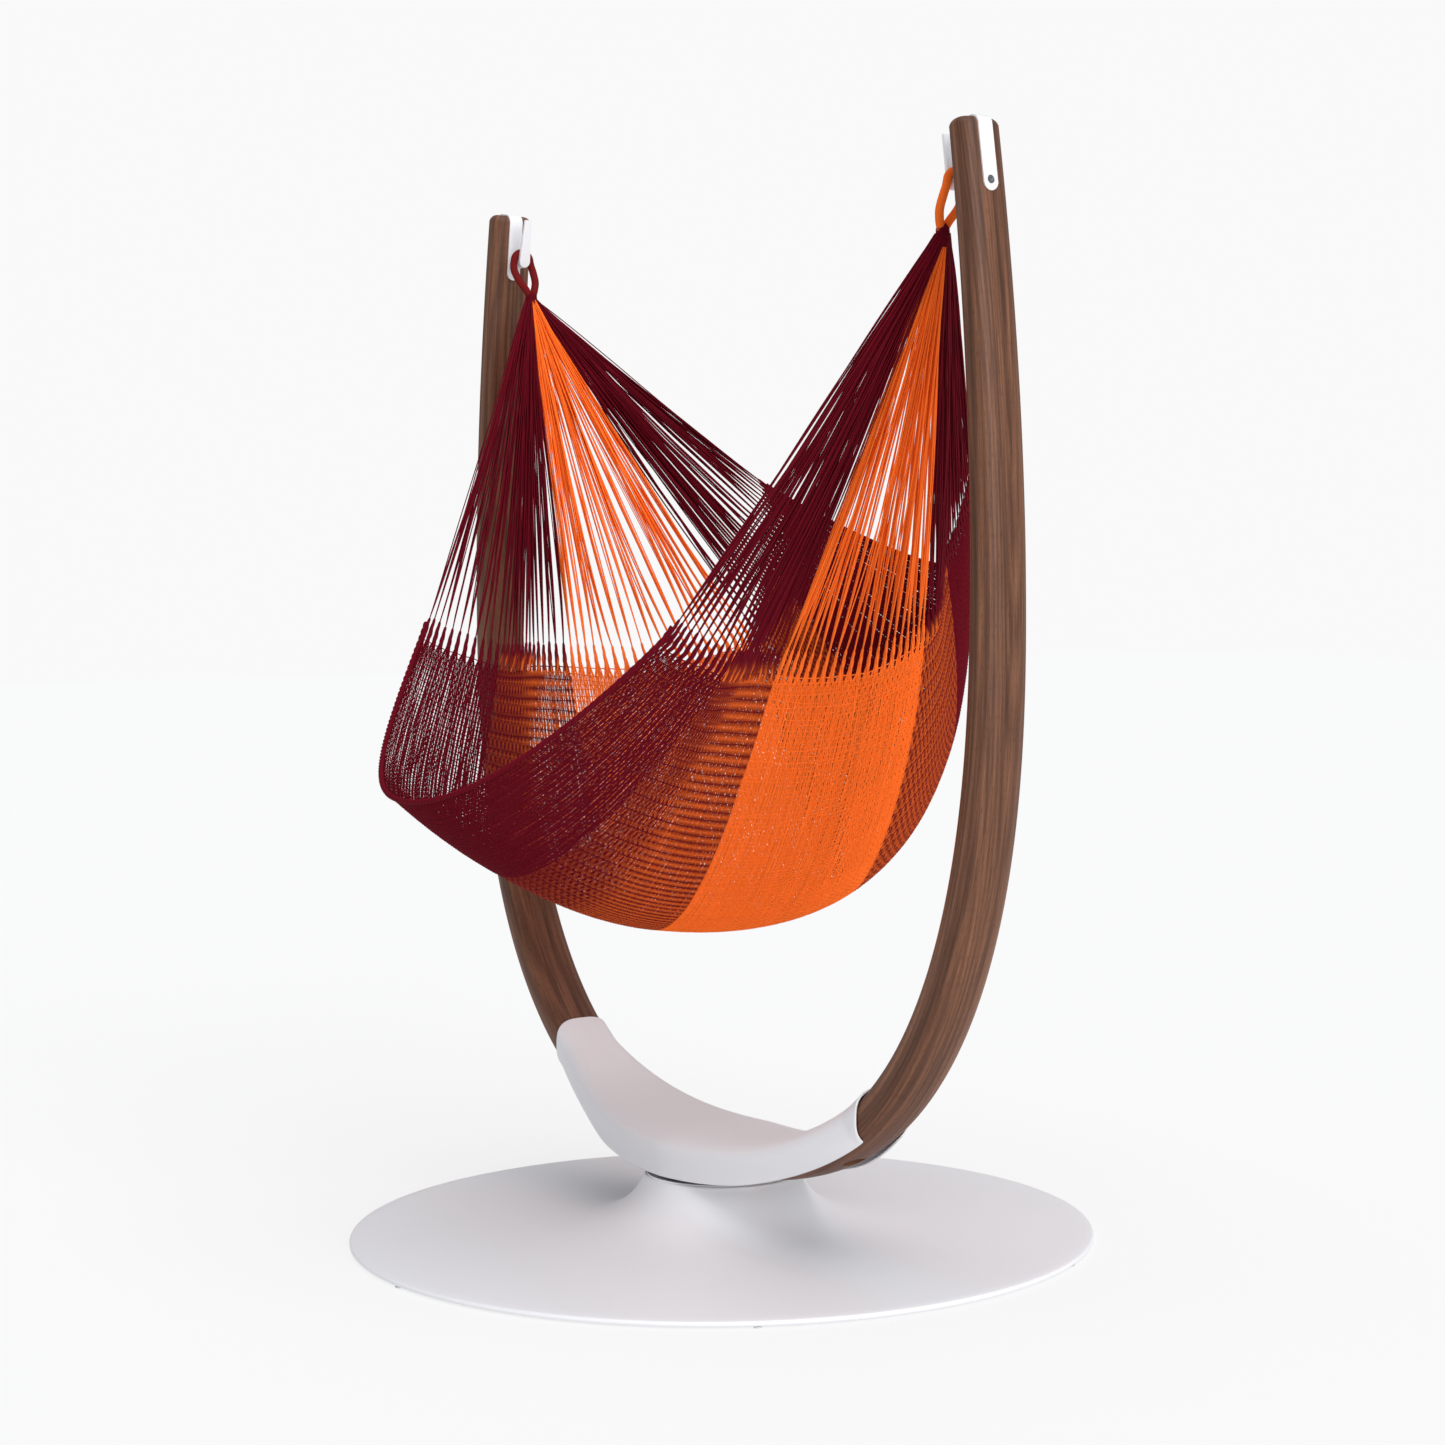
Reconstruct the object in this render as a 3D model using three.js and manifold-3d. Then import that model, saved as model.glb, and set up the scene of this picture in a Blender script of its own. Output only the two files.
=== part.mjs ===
// Hammock chair on a bentwood stand. Millimetres, +Z up. The origin is on the floor under the middle
// of the base, X runs from arm to arm, and the sitter faces -Y.
import * as THREE from 'three';
import { mergeVertices } from 'three/addons/utils/BufferGeometryUtils.js';
import Module from 'manifold-3d';

const wasm = await Module();
wasm.setup();

// ---- driving dimensions ------------------------------------------------------------------------

const gap = 0.3;                       // air left between two pieces that touch

const base = {
  radius: 712,
  shell: 6,                            // thickness of the spun plate
  rimHeight: 10,
  rimWidth: 18,
  padHeight: 3,
  padRadius: 7,
  padCount: 6,
  neckRadius: 150,
  neckTop: 119.5,
  neckEdge: 5,                         // rounding of the neck's top edge
  flarePower: 3,                       // how fast the trumpet flare dies away
};

const swivel = {
  airGap: 4.2,                         // from the neck's top to the cradle plate
  plateThickness: 4,
  plateRadius: 128,
  shaftRadius: 17,
  raceRadius: 32,
  raceHeight: 8,
  cageHeight: 4.4,
  ledge: 10,
  housingWall: 12,
  flangeRadius: 85,
  flangeThickness: 8,
  washerRadius: 30,
  washerThickness: 4,
  nutRadius: 26,
  nutHeight: 12,
  runningClearance: 0.5,
  sealRadius: 118,
  sealWidth: 7,
};

const arch = {
  halfSpan: 825,                       // centre line's greatest half width, at the waist
  waistZ: 1275,
  roundness: 2.55,                     // exponent of the lower half's superellipse
  lean: 102,
  leanPower: 1.8,
  topZ: 2030,
};

const wood = {
  footThickness: 80,
  topThickness: 53,
  footWidth: 122,
  topWidth: 91,
  innerCorner: 3.2,                    // superellipse exponents of the section's two halves
  outerCorner: 2.4,
  endRounding: 16,
  footGap: 1,                          // between the two arms' feet
  planed: 3.7,                         // cut off the feet's undersides, where they lie on the cradle
};

const saddle = {
  halfLength: 504,
  skin: 4,
  middleHalfWidth: 145,
  endHalfWidth: 57,
  taperPower: 1.4,
  tuckFrom: 200,                       // outward of here its lower edges turn in under the wood
  sectionAngles: [42, 54, 68, 90, 115, 132, 142, 155, 180],
  woodClearance: 1.8,
};

const hook = {
  width: 30,
  thickness: 5,
  inset: 2.6,                          // depth of the groove that the strap lies in
  slotClearance: 0.4,
  outerEndZ: arch.topZ - 125,
  innerEndZ: arch.topZ - 137,
  topBend: 15,
  prongTipZ: arch.topZ - 17,
  prongTipWidth: 15,
  barRadius: 12,                       // the crossbar that the rope hangs over
  barZ: arch.topZ - 102,               // its axis, which is also the swing axis
};

// The arm's inner face beside the crossbar. The hook's prong, the loops and the net's apexes are
// all placed from it.
const barRise = (hook.barZ - arch.waistZ) / 1000;
const barWallX = Math.round(arch.halfSpan - arch.lean * barRise ** arch.leanPower - wood.topThickness / 2);
hook.prongTipX = barWallX - 61;
hook.prongRootX = barWallX - 42;

const bolt = {
  strapRadius: 4,
  strapHeadRadius: 7.5,
  strapHeadDepth: 3.6,
  socketRadius: 2.6,
  socketDepth: 2,
  armX: 402,                           // bolt under each arm, from the middle
  armRadius: 5,
  armHeadRadius: 9,
  armHeadHeight: 7,
  armLength: 70,
  washerRadius: 15,
  washerThickness: 2.5,
  recessRadius: 21,
  recessDepth: 20,
  cradleX: [58, 104],
  cradleRadius: 3.5,
  cradleHeadRadius: 6.5,
  cradleHeadHeight: 3.2,
  cradleLength: 34,
  holeClearance: 0.4,
};

const rope = {
  radius: 7.5,
  bindingHeight: 26,
};
rope.bindingRadius = 2 * rope.radius + 3;
rope.hangX = hook.prongRootX + rope.radius - 0.5;   // where the loops cross their hooks

const net = {
  apexX: barWallX - 71,
  apexZ: hook.barZ - 93,
  bandThickness: [8, 8, 7, 6, 6],      // bunched thicker at the front, so that the bed hangs level
  strandThickness: 7,
  strandReach: 0.945,                   // share of the bare strands that the fans cover
  selvedgeRadius: 5,
  selvedgeInset: 7.5,
};

// The warp lines that bound the five bands of the net, front selvedge first. A line leaves the apex
// as a straight strand, enters the weave at its knot, and sags to its full drop in the middle.
// Angles are degrees from straight down about the line through both apexes, positive to the back.
const warpLines = [
  { knotAngle: -31, midAngle: -35, drop: 1181, knotX: 424, knotDrop: 791, sag: 2.2 },
  { knotAngle: -19, midAngle: -23, drop: 1212, knotX: 392, knotDrop: 778, sag: 2.05 },
  { knotAngle: -9, midAngle: -7, drop: 1246, knotX: 352, knotDrop: 748, sag: 1.9 },
  { knotAngle: 22, midAngle: 14, drop: 1238, knotX: 285, knotDrop: 738, sag: 1.8 },
  { knotAngle: 31, midAngle: 29, drop: 1098, knotX: 278, knotDrop: 650, sag: 1.7 },
  { knotAngle: 43, midAngle: 45, drop: 780, knotX: 322, knotDrop: 538, sag: 1.55 },
];

// The lines above are for apexes 680 from the middle and 1835 high; the net is scaled to its own.
const netSpread = net.apexX / 680;
const netDepth = net.apexZ / 1835;

// ---- materials ---------------------------------------------------------------------------------

const finish = (color, roughness, metalness = 0) =>
  new THREE.MeshStandardMaterial({ color, roughness, metalness });
const whiteCoat = finish(0xe9e9ec, 0.45);
const walnut = finish(0x6f4c36, 0.5);
const zinc = finish(0xb9bcc0, 0.35, 0.9);
const steel = finish(0x8d9196, 0.3, 1);
const blackRubber = finish(0x1c1c1e, 0.8);
const paleRubber = finish(0xc9c9cc, 0.7);
const maroonYarn = finish(0x5a0a18, 0.85);
const orangeYarn = finish(0xf2672c, 0.85);
const mixedYarn = finish(0x8e2a1c, 0.85);

// ---- building helpers --------------------------------------------------------------------------

const object = new THREE.Group();

function addPart(name, geometry, material) {
  const mesh = new THREE.Mesh(geometry, material);
  mesh.name = name;
  object.add(mesh);
}

function bare(geometry) {
  const copy = geometry.clone();
  copy.deleteAttribute('normal');
  copy.deleteAttribute('uv');
  return mergeVertices(copy, 1e-4);
}

function signedVolume(geometry) {
  const p = geometry.attributes.position;
  const [a, b, c] = [new THREE.Vector3(), new THREE.Vector3(), new THREE.Vector3()];
  let sum = 0;
  for (let i = 0; i < geometry.index.count; i += 3) {
    a.fromBufferAttribute(p, geometry.index.getX(i));
    b.fromBufferAttribute(p, geometry.index.getX(i + 1));
    c.fromBufferAttribute(p, geometry.index.getX(i + 2));
    sum += a.dot(b.cross(c));
  }
  return sum / 6;
}

// Merges shared corners and turns the faces so that they point out of the piece.
function closed(geometry) {
  const merged = bare(geometry);
  if (signedVolume(merged) < 0) {
    const index = Array.from(merged.index.array);
    for (let i = 0; i < index.length; i += 3) {
      [index[i + 1], index[i + 2]] = [index[i + 2], index[i + 1]];
    }
    merged.setIndex(index);
  }
  return merged;
}

function toManifold(geometry) {
  const piece = closed(geometry);
  return new wasm.Manifold(new wasm.Mesh({
    numProp: 3,
    vertProperties: new Float32Array(piece.attributes.position.array),
    triVerts: new Uint32Array(piece.index.array),
  }));
}

function toGeometry(manifold) {
  const mesh = manifold.getMesh();
  const geometry = new THREE.BufferGeometry();
  geometry.setAttribute('position', new THREE.BufferAttribute(mesh.vertProperties, 3));
  geometry.setIndex(new THREE.BufferAttribute(mesh.triVerts, 1));
  return geometry;
}

// Turned piece about the Z axis from [radius, z] points; a ring's outline is closed on itself.
function turned(points, segments) {
  const profile = points.map(([r, z]) => new THREE.Vector2(r, z));
  if (points.every(([r]) => r > 0)) {
    profile.push(profile[0].clone());
  }
  return closed(new THREE.LatheGeometry(profile, segments).rotateX(Math.PI / 2));
}

const ring = (inner, outer, z0, z1, segments = 24) =>
  turned([[inner, z0], [outer, z0], [outer, z1], [inner, z1]], segments);

const disc = (radius, z0, z1, segments = 24) =>
  turned([[0, z0], [radius, z0], [radius, z1], [0, z1]], segments);

// Skin through equal rings of points, with a fan over each end.
function loft(rings) {
  const count = rings[0].length;
  const points = rings.flat();
  const index = [];
  for (let i = 0; i + 1 < rings.length; i++) {
    for (let j = 0; j < count; j++) {
      const a = i * count + j;
      const b = i * count + (j + 1) % count;
      index.push(a, b, a + count, b, b + count, a + count);
    }
  }
  [0, rings.length - 1].forEach((end) => {
    const middle = new THREE.Vector3();
    rings[end].forEach((p) => middle.addScaledVector(p, 1 / count));
    points.push(middle);
    for (let j = 0; j < count; j++) {
      const a = end * count + j;
      const b = end * count + (j + 1) % count;
      index.push(points.length - 1, end ? a : b, end ? b : a);
    }
  });
  const geometry = new THREE.BufferGeometry().setFromPoints(points);
  geometry.setIndex(index);
  return closed(geometry);
}

// Sheet of even thickness about a curved surface: at(u, v) gives its middle, u and v from 0 to 1.
function sheet(at, thickness, uSteps, vSteps) {
  const step = 1e-3;
  const rings = [];
  for (let i = 0; i <= uSteps; i++) {
    const u = i / uSteps;
    const faces = [[], []];
    for (let j = 0; j <= vSteps; j++) {
      const v = j / vSteps;
      const across = at(u + step, v).sub(at(u - step, v));
      const along = at(u, v + step).sub(at(u, v - step));
      const normal = across.cross(along).normalize();
      faces[0].push(at(u, v).addScaledVector(normal, thickness / 2));
      faces[1].unshift(at(u, v).addScaledVector(normal, -thickness / 2));
    }
    rings.push(faces.flat());
  }
  return stripLoft(rings, vSteps + 1);
}

// As loft, for rings that are thin strips: the ends are ladders of quads and not fans.
function stripLoft(rings, half) {
  const count = rings[0].length;
  const index = [];
  for (let i = 0; i + 1 < rings.length; i++) {
    for (let j = 0; j < count; j++) {
      const a = i * count + j;
      const b = i * count + (j + 1) % count;
      index.push(a, b, a + count, b, b + count, a + count);
    }
  }
  [0, rings.length - 1].forEach((end) => {
    for (let j = 0; j + 1 < half; j++) {
      const a = end * count + j;
      const b = end * count + count - 1 - j;
      const quad = [a, b, b - 1, a, b - 1, a + 1];
      index.push(...(end ? quad.reverse() : quad));
    }
  });
  const geometry = new THREE.BufferGeometry().setFromPoints(rings.flat());
  geometry.setIndex(index);
  return closed(geometry);
}

// Round rope along a smooth path.
function ropeAlong(points, radius, sides, steps) {
  const section = new THREE.Shape();
  for (let i = 0; i < sides; i++) {
    const angle = 2 * Math.PI * i / sides;
    const corner = [radius * Math.cos(angle), radius * Math.sin(angle)];
    i ? section.lineTo(...corner) : section.moveTo(...corner);
  }
  const extrudePath = new THREE.CatmullRomCurve3(points, false, 'centripetal');
  return closed(new THREE.ExtrudeGeometry(section, { steps, bevelEnabled: false, extrudePath }));
}

// Plate whose outline is drawn in X and Z, of the given width along Y.
function plateInXZ(outline, width) {
  const shape = new THREE.Shape(outline.map(([x, z]) => new THREE.Vector2(x, z)));
  const geometry = new THREE.ExtrudeGeometry(shape, { depth: width, bevelEnabled: false });
  return closed(geometry.rotateX(Math.PI / 2).translate(0, width / 2, 0));
}

const mirrored = (geometry) => closed(geometry.clone().scale(-1, 1, 1));
const sides = [['left', -1], ['right', 1]];
const onSide = (geometry, side) => (side < 0 ? mirrored(geometry) : closed(geometry));

// ---- base --------------------------------------------------------------------------------------

const plateTop = base.padHeight + base.rimHeight;
const flareHeight = (r) =>
  plateTop + (base.neckTop - base.neckEdge - plateTop) * (base.neckRadius / r) ** base.flarePower;

function flare(from, to, steps, below) {
  const points = [];
  for (let i = 0; i <= steps; i++) {
    const r = from * (to / from) ** (i / steps);
    points.push([r, flareHeight(r) - below]);
  }
  return points;
}

function basePlate() {
  const housingBore = swivel.raceRadius + swivel.housingWall + gap;
  const rimInner = base.radius - base.rimWidth;
  const neckInner = base.neckRadius - base.shell;
  const outer = [
    [housingBore, base.neckTop],
    [base.neckRadius - base.neckEdge, base.neckTop],
    [base.neckRadius - base.neckEdge * 0.3, base.neckTop - base.neckEdge * 0.3],
    ...flare(base.neckRadius, rimInner, 11, 0),
    [base.radius - 4, plateTop - 1],
    [base.radius, plateTop - 5],
    [base.radius - 2, base.padHeight],
  ];
  const under = [
    ...flare(neckInner, rimInner, 8, base.shell),
    [rimInner, base.padHeight],
  ].reverse();
  const neckRoof = [
    [neckInner, base.neckTop - base.shell],
    [housingBore, base.neckTop - base.shell],
  ];
  return turned([...outer, ...under, ...neckRoof], 48);
}

function glidePads() {
  for (let i = 0; i < base.padCount; i++) {
    const angle = 2 * Math.PI * (i + 0.5) / base.padCount;
    const r = base.radius - base.rimWidth / 2;
    const pad = disc(base.padRadius, 0, base.padHeight - gap, 12);
    pad.translate(r * Math.cos(angle), r * Math.sin(angle), 0);
    addPart(`glide_pad_${i + 1}`, pad, paleRubber);
  }
}

// ---- swivel ------------------------------------------------------------------------------------

const cradleBottom = base.neckTop + swivel.airGap;
const cradleTop = cradleBottom + swivel.plateThickness;
const footZ = cradleTop + wood.footThickness / 2 - wood.planed;   // arch's centre line at the middle
const upperRaceTop = cradleBottom - gap;
const cageTop = upperRaceTop - swivel.raceHeight - gap;
const lowerRaceTop = cageTop - swivel.cageHeight - gap;
const ledgeTop = lowerRaceTop - swivel.raceHeight - gap;
const ledgeBottom = ledgeTop - swivel.ledge;
const washerTop = ledgeBottom - 2 * gap;
const nutTop = washerTop - swivel.washerThickness - gap;

function swivelParts() {
  const shaft = swivel.shaftRadius;
  const bore = shaft + swivel.runningClearance;
  const housingOuter = swivel.raceRadius + swivel.housingWall;
  const flangeTop = base.neckTop - base.shell - gap;
  const flangeBottom = flangeTop - swivel.flangeThickness;
  const housing = turned([
    [swivel.raceRadius + gap, ledgeTop],
    [swivel.raceRadius + gap, base.neckTop],
    [housingOuter, base.neckTop],
    [housingOuter, flangeTop],
    [swivel.flangeRadius, flangeTop],
    [swivel.flangeRadius, flangeBottom],
    [housingOuter, flangeBottom],
    [housingOuter, ledgeBottom],
    [bore, ledgeBottom],
    [bore, ledgeTop],
  ], 32);
  addPart('bearing_housing', housing, steel);
  const race = swivel.raceRadius - swivel.runningClearance;
  addPart('lower_race', ring(bore, swivel.raceRadius, ledgeTop + gap, lowerRaceTop), steel);
  const cageBottom = cageTop - swivel.cageHeight;
  addPart('roller_cage', ring(shaft + 3, race - 3, cageBottom, cageTop), zinc);
  const upperBottom = upperRaceTop - swivel.raceHeight;
  addPart('upper_race', ring(shaft + gap, race, upperBottom, upperRaceTop), steel);
  const spindle = disc(shaft, nutTop - swivel.nutHeight - 4, cradleBottom - gap, 32);
  addPart('spindle', spindle, steel);
  const washer = ring(shaft + gap, swivel.washerRadius, washerTop - swivel.washerThickness, washerTop);
  addPart('retaining_washer', washer, zinc);
  const nut = ring(shaft + gap, swivel.nutRadius, nutTop - swivel.nutHeight, nutTop, 6);
  const nutBore = toManifold(disc(shaft + gap, nutTop - swivel.nutHeight - 1, nutTop + 1, 32));
  addPart('retaining_nut', toGeometry(toManifold(nut).subtract(nutBore)), zinc);
  const sealTop = cradleBottom - gap;
  const sealBottom = base.neckTop + 1.2;
  const seal = ring(swivel.sealRadius - swivel.sealWidth, swivel.sealRadius, sealBottom, sealTop, 32);
  addPart('dust_seal', seal, blackRubber);
}

const cradleSpots = sides.flatMap(([, side]) => bolt.cradleX.map((x) => side * x));

function cradle() {
  let plate = toManifold(disc(swivel.plateRadius, cradleBottom, cradleTop, 40));
  cradleSpots.forEach((x) => {
    const hole = disc(bolt.cradleRadius + bolt.holeClearance, cradleBottom - 1, cradleTop + 1, 12);
    plate = plate.subtract(toManifold(hole.translate(x, 0, 0)));
  });
  addPart('cradle_plate', toGeometry(plate), steel);
  cradleSpots.forEach((x, i) => {
    const headTop = cradleBottom - gap;
    const screw = turned([
      [0, headTop - bolt.cradleHeadHeight],
      [bolt.cradleHeadRadius, headTop - bolt.cradleHeadHeight],
      [bolt.cradleHeadRadius, headTop],
      [bolt.cradleRadius, headTop],
      [bolt.cradleRadius, headTop + bolt.cradleLength],
      [0, headTop + bolt.cradleLength],
    ], 12);
    addPart(`cradle_screw_${i + 1}`, screw.translate(x, 0, 0), zinc);
  });
}

// ---- arms --------------------------------------------------------------------------------------

// Centre line of the right arm: t from 0 at the middle of the foot to 1 at the waist, then to 2.
function archPoint(t) {
  if (t <= 1) {
    const angle = t * Math.PI / 2;
    const power = 2 / arch.roundness;
    const x = arch.halfSpan * Math.sin(angle) ** power;
    const z = arch.waistZ - (arch.waistZ - footZ) * Math.cos(angle) ** power;
    return new THREE.Vector3(x, 0, z);
  }
  const rise = (arch.topZ - arch.waistZ) * (t - 1);
  const x = arch.halfSpan - 1000 * (arch.lean / 1000) * (rise / 1000) ** arch.leanPower;
  return new THREE.Vector3(x, 0, arch.waistZ + rise);
}

// Evenly spaced stations of the centre line, with the outward normal and share of the whole length.
function archStations(count) {
  const fine = [];
  for (let i = 0; i <= 800; i++) {
    fine.push(archPoint(i / 400));
  }
  const line = new THREE.CatmullRomCurve3(fine, false, 'centripetal');
  line.arcLengthDivisions = 1600;
  const stations = [];
  for (let i = 0; i <= count; i++) {
    const share = i / count;
    const tangent = line.getTangentAt(share);
    const outward = new THREE.Vector3(tangent.z, 0, -tangent.x).normalize();
    stations.push({ share, point: line.getPointAt(share), tangent, outward });
  }
  return stations;
}

function archLength() {
  let length = 0;
  for (let i = 0; i < 200; i++) {
    length += archPoint(i / 100).distanceTo(archPoint((i + 1) / 100));
  }
  return length;
}

const thicknessAt = (share) => THREE.MathUtils.lerp(wood.footThickness, wood.topThickness, share);
const widthAt = (share) => THREE.MathUtils.lerp(wood.footWidth, wood.topWidth, share);

// The section's outline for half sizes of 1: outward share and sideways share at this angle.
function sectionPoint(angle) {
  const [c, s] = [Math.cos(angle), Math.sin(angle)];
  const power = c > 0 ? wood.outerCorner : wood.innerCorner;
  const reach = (Math.abs(c) ** power + Math.abs(s) ** power) ** (-1 / power);
  return [c * reach, s * reach];
}

// Rounded section across the arm, shrunk by inset on every side and moved along by shift.
function armRing(station, corners, inset, shift = 0) {
  const halfT = thicknessAt(station.share) / 2 - inset;
  const halfW = widthAt(station.share) / 2 - inset;
  const centre = station.point.clone().addScaledVector(station.tangent, shift);
  const points = [];
  for (let i = 0; i < corners; i++) {
    const [depth, wide] = sectionPoint(2 * Math.PI * (i + 0.5) / corners);
    const point = centre.clone().addScaledVector(station.outward, depth * halfT);
    point.y = wide * halfW;
    points.push(point);
  }
  return points;
}

const armCorners = 16;
const blankSpacing = 78.5;             // between the blank's sections, at most
const blankSections = 30;              // at least, so that its chords stay inside the saddle

function woodBlank() {
  const count = Math.max(blankSections, Math.ceil(archLength() / blankSpacing));
  const stations = archStations(count);
  const rings = stations.slice(0, -1).map((s) => armRing(s, armCorners, 0));
  const last = stations[stations.length - 1];
  [0, 30, 60, 84].forEach((degrees) => {
    const angle = THREE.MathUtils.degToRad(degrees);
    const inset = wood.endRounding * (1 - Math.cos(angle));
    const shift = wood.endRounding * (Math.sin(angle) - 1);
    rings.push(armRing(last, armCorners, inset, shift));
  });
  return rings;
}

const topStation = archStations(40)[40];
const up = topStation.tangent;
const strapStation = archStations(40)[38];

// The hook strap's outline: outer leg, over the arm's top, inner leg, block and prong.
function strapLine(offset) {
  const stations = archStations(80);
  const outer = [];
  const inner = [];
  stations.forEach((s) => {
    const half = thicknessAt(s.share) / 2 + offset;
    const o = s.point.clone().addScaledVector(s.outward, half);
    const n = s.point.clone().addScaledVector(s.outward, -half);
    const below = topStation.point.clone().addScaledVector(up, -hook.topBend);
    if (o.clone().sub(below).dot(up) < 0 && o.z > hook.outerEndZ) {
      outer.push([o.x, o.z]);
    }
    if (n.clone().sub(below).dot(up) < 0 && n.z > hook.innerEndZ) {
      inner.push([n.x, n.z]);
    }
  });
  const half = thicknessAt(1) / 2;
  const out = topStation.outward;
  const bend = (side, degrees) => {
    const angle = THREE.MathUtils.degToRad(degrees);
    const centre = topStation.point.clone()
      .addScaledVector(out, side * (half - hook.topBend))
      .addScaledVector(up, -hook.topBend);
    const r = hook.topBend + offset;
    const p = centre.addScaledVector(out, side * r * Math.cos(angle)).addScaledVector(up, r * Math.sin(angle));
    return [p.x, p.z];
  };
  const over = [bend(1, 15), bend(1, 45), bend(1, 75), bend(1, 90)];
  const back = [bend(-1, 90), bend(-1, 75), bend(-1, 45), bend(-1, 15)];
  return { outer, over, back, inner: inner.reverse() };
}

function strapOutline(innerOffset, outerOffset) {
  const near = strapLine(innerOffset);
  const far = strapLine(outerOffset);
  const path = (line) => [
    [line.outer[0][0], hook.outerEndZ], ...line.outer, ...line.over, ...line.back, ...line.inner,
    [line.inner[line.inner.length - 1][0], hook.innerEndZ],
  ];
  return [...path(far), ...path(near).reverse()];
}

// Upright plate outline across Y, rounded at its lower end, used to trim strap and prong.
function roundEnded(widthLow, widthHigh, lowZ, highZ) {
  const r = widthLow / 2;
  const shape = new THREE.Shape();
  shape.moveTo(widthHigh / 2, highZ);
  shape.lineTo(-widthHigh / 2, highZ);
  shape.lineTo(-r, lowZ + r);
  shape.absarc(0, lowZ + r, r, Math.PI, 2 * Math.PI, false);
  shape.lineTo(widthHigh / 2, highZ);
  const depth = 400;
  const options = { depth, bevelEnabled: false, curveSegments: 10 };
  const geometry = new THREE.ExtrudeGeometry(shape, options);
  geometry.rotateX(Math.PI / 2).rotateZ(Math.PI / 2);
  return toManifold(geometry.translate(topStation.point.x - depth / 2, 0, 0));
}

const innerFaceX = (z) => {
  const line = strapLine(hook.thickness - hook.inset).inner;
  const found = line.find(([, lineZ]) => lineZ <= z);
  return found[0];
};

function hookBody() {
  const raised = hook.thickness - hook.inset;
  const strap = toManifold(plateInXZ(strapOutline(-hook.inset, raised), hook.width));
  const topZ = arch.topZ + 50;
  const outerTrim = roundEnded(hook.width, hook.width, hook.outerEndZ, topZ);
  const innerTrim = roundEnded(hook.width, hook.width, hook.innerEndZ, topZ);
  const middle = toManifold(new THREE.BoxGeometry(200, 200, 400)
    .translate(topStation.point.x + 100 + 6, 0, arch.topZ));
  const outerLeg = strap.intersect(middle).intersect(outerTrim);
  const innerLeg = strap.subtract(middle).intersect(innerTrim);
  const half = hook.thickness / 2;
  const lowZ = hook.barZ - hook.barRadius;
  const plateX = innerFaceX(hook.barZ) + 1;
  const outline = [
    [plateX, lowZ],
    [hook.prongRootX - half, lowZ],
    [hook.prongTipX - half, hook.prongTipZ],
    [hook.prongTipX + half, hook.prongTipZ],
    [hook.prongRootX + half, hook.barZ],
    [plateX, hook.barZ],
  ];
  const prong = toManifold(plateInXZ(outline, hook.width + 10));
  const prongTrim = roundEnded(2 * hook.barRadius, hook.prongTipWidth, lowZ, hook.prongTipZ);
  const bar = new THREE.CylinderGeometry(hook.barRadius, hook.barRadius, plateX - hook.prongRootX, 24);
  bar.rotateZ(Math.PI / 2).rotateX(Math.PI / 24);
  bar.translate((plateX + hook.prongRootX) / 2, 0, hook.barZ);
  return outerLeg.add(innerLeg).add(prong.intersect(prongTrim)).add(toManifold(bar));
}

// Screw that passes through strap and arm; its axis crosses the arm near the strap's lower end.
const strapBoltZ = hook.outerEndZ + hook.width / 2;

function strapBolt(clearance) {
  const near = strapStation.point.clone();
  const faceHalf = thicknessAt(strapStation.share) / 2;
  const headFace = faceHalf + hook.thickness - hook.inset;
  const tip = -faceHalf - 0.5;
  const head = bolt.strapHeadRadius + clearance;
  const body = bolt.strapRadius + clearance;
  const lip = clearance ? 2 : 0;
  const points = [
    [0, tip - (clearance ? 0.4 : 0)],
    [body, tip - (clearance ? 0.4 : 0)],
    [body, headFace - bolt.strapHeadDepth],
    [head, headFace],
    [head, headFace + lip],
    [0, headFace + lip],
  ];
  if (!clearance) {
    points.splice(5, 1);
    points[4] = [bolt.socketRadius, headFace];
    points.push([bolt.socketRadius, headFace - bolt.socketDepth], [0, headFace - bolt.socketDepth]);
  }
  const piece = turned(points, 16).rotateY(Math.PI / 2);
  const scale = (strapBoltZ - near.z) / strapStation.tangent.z;
  const centre = near.addScaledVector(strapStation.tangent, scale);
  const lean = Math.atan2(strapStation.outward.z, strapStation.outward.x);
  return closed(piece.rotateY(-lean).translate(centre.x, 0, centre.z));
}

// Bolt, washer and recess on the arm's underside, square to the surface.
const stationNearX = (x) => archStations(160).find((s) => s.point.x >= x);

function placeUnderArm(geometry, extra = 0) {
  const s = stationNearX(bolt.armX);
  const lean = Math.atan2(s.outward.x, -s.outward.z);
  const reach = thicknessAt(s.share) / 2 + extra;
  const foot = s.point.clone().addScaledVector(s.outward, reach);
  return closed(geometry.rotateY(-lean).translate(foot.x, 0, foot.z));
}

function armHardware() {
  const seat = bolt.recessDepth;
  const washerZ = seat - gap;
  const washer = ring(bolt.armRadius + bolt.holeClearance, bolt.washerRadius,
    washerZ - bolt.washerThickness, washerZ, 20);
  const headTop = washerZ - bolt.washerThickness - gap;
  const socket = bolt.armHeadRadius * 0.55;
  const screw = turned([
    [0, headTop - bolt.armHeadHeight + 4],
    [socket, headTop - bolt.armHeadHeight + 4],
    [socket, headTop - bolt.armHeadHeight],
    [bolt.armHeadRadius, headTop - bolt.armHeadHeight],
    [bolt.armHeadRadius, headTop],
    [bolt.armRadius, headTop],
    [bolt.armRadius, bolt.armLength],
    [0, bolt.armLength],
  ], 16);
  return { washer: placeUnderArm(washer), screw: placeUnderArm(screw) };
}

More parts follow.
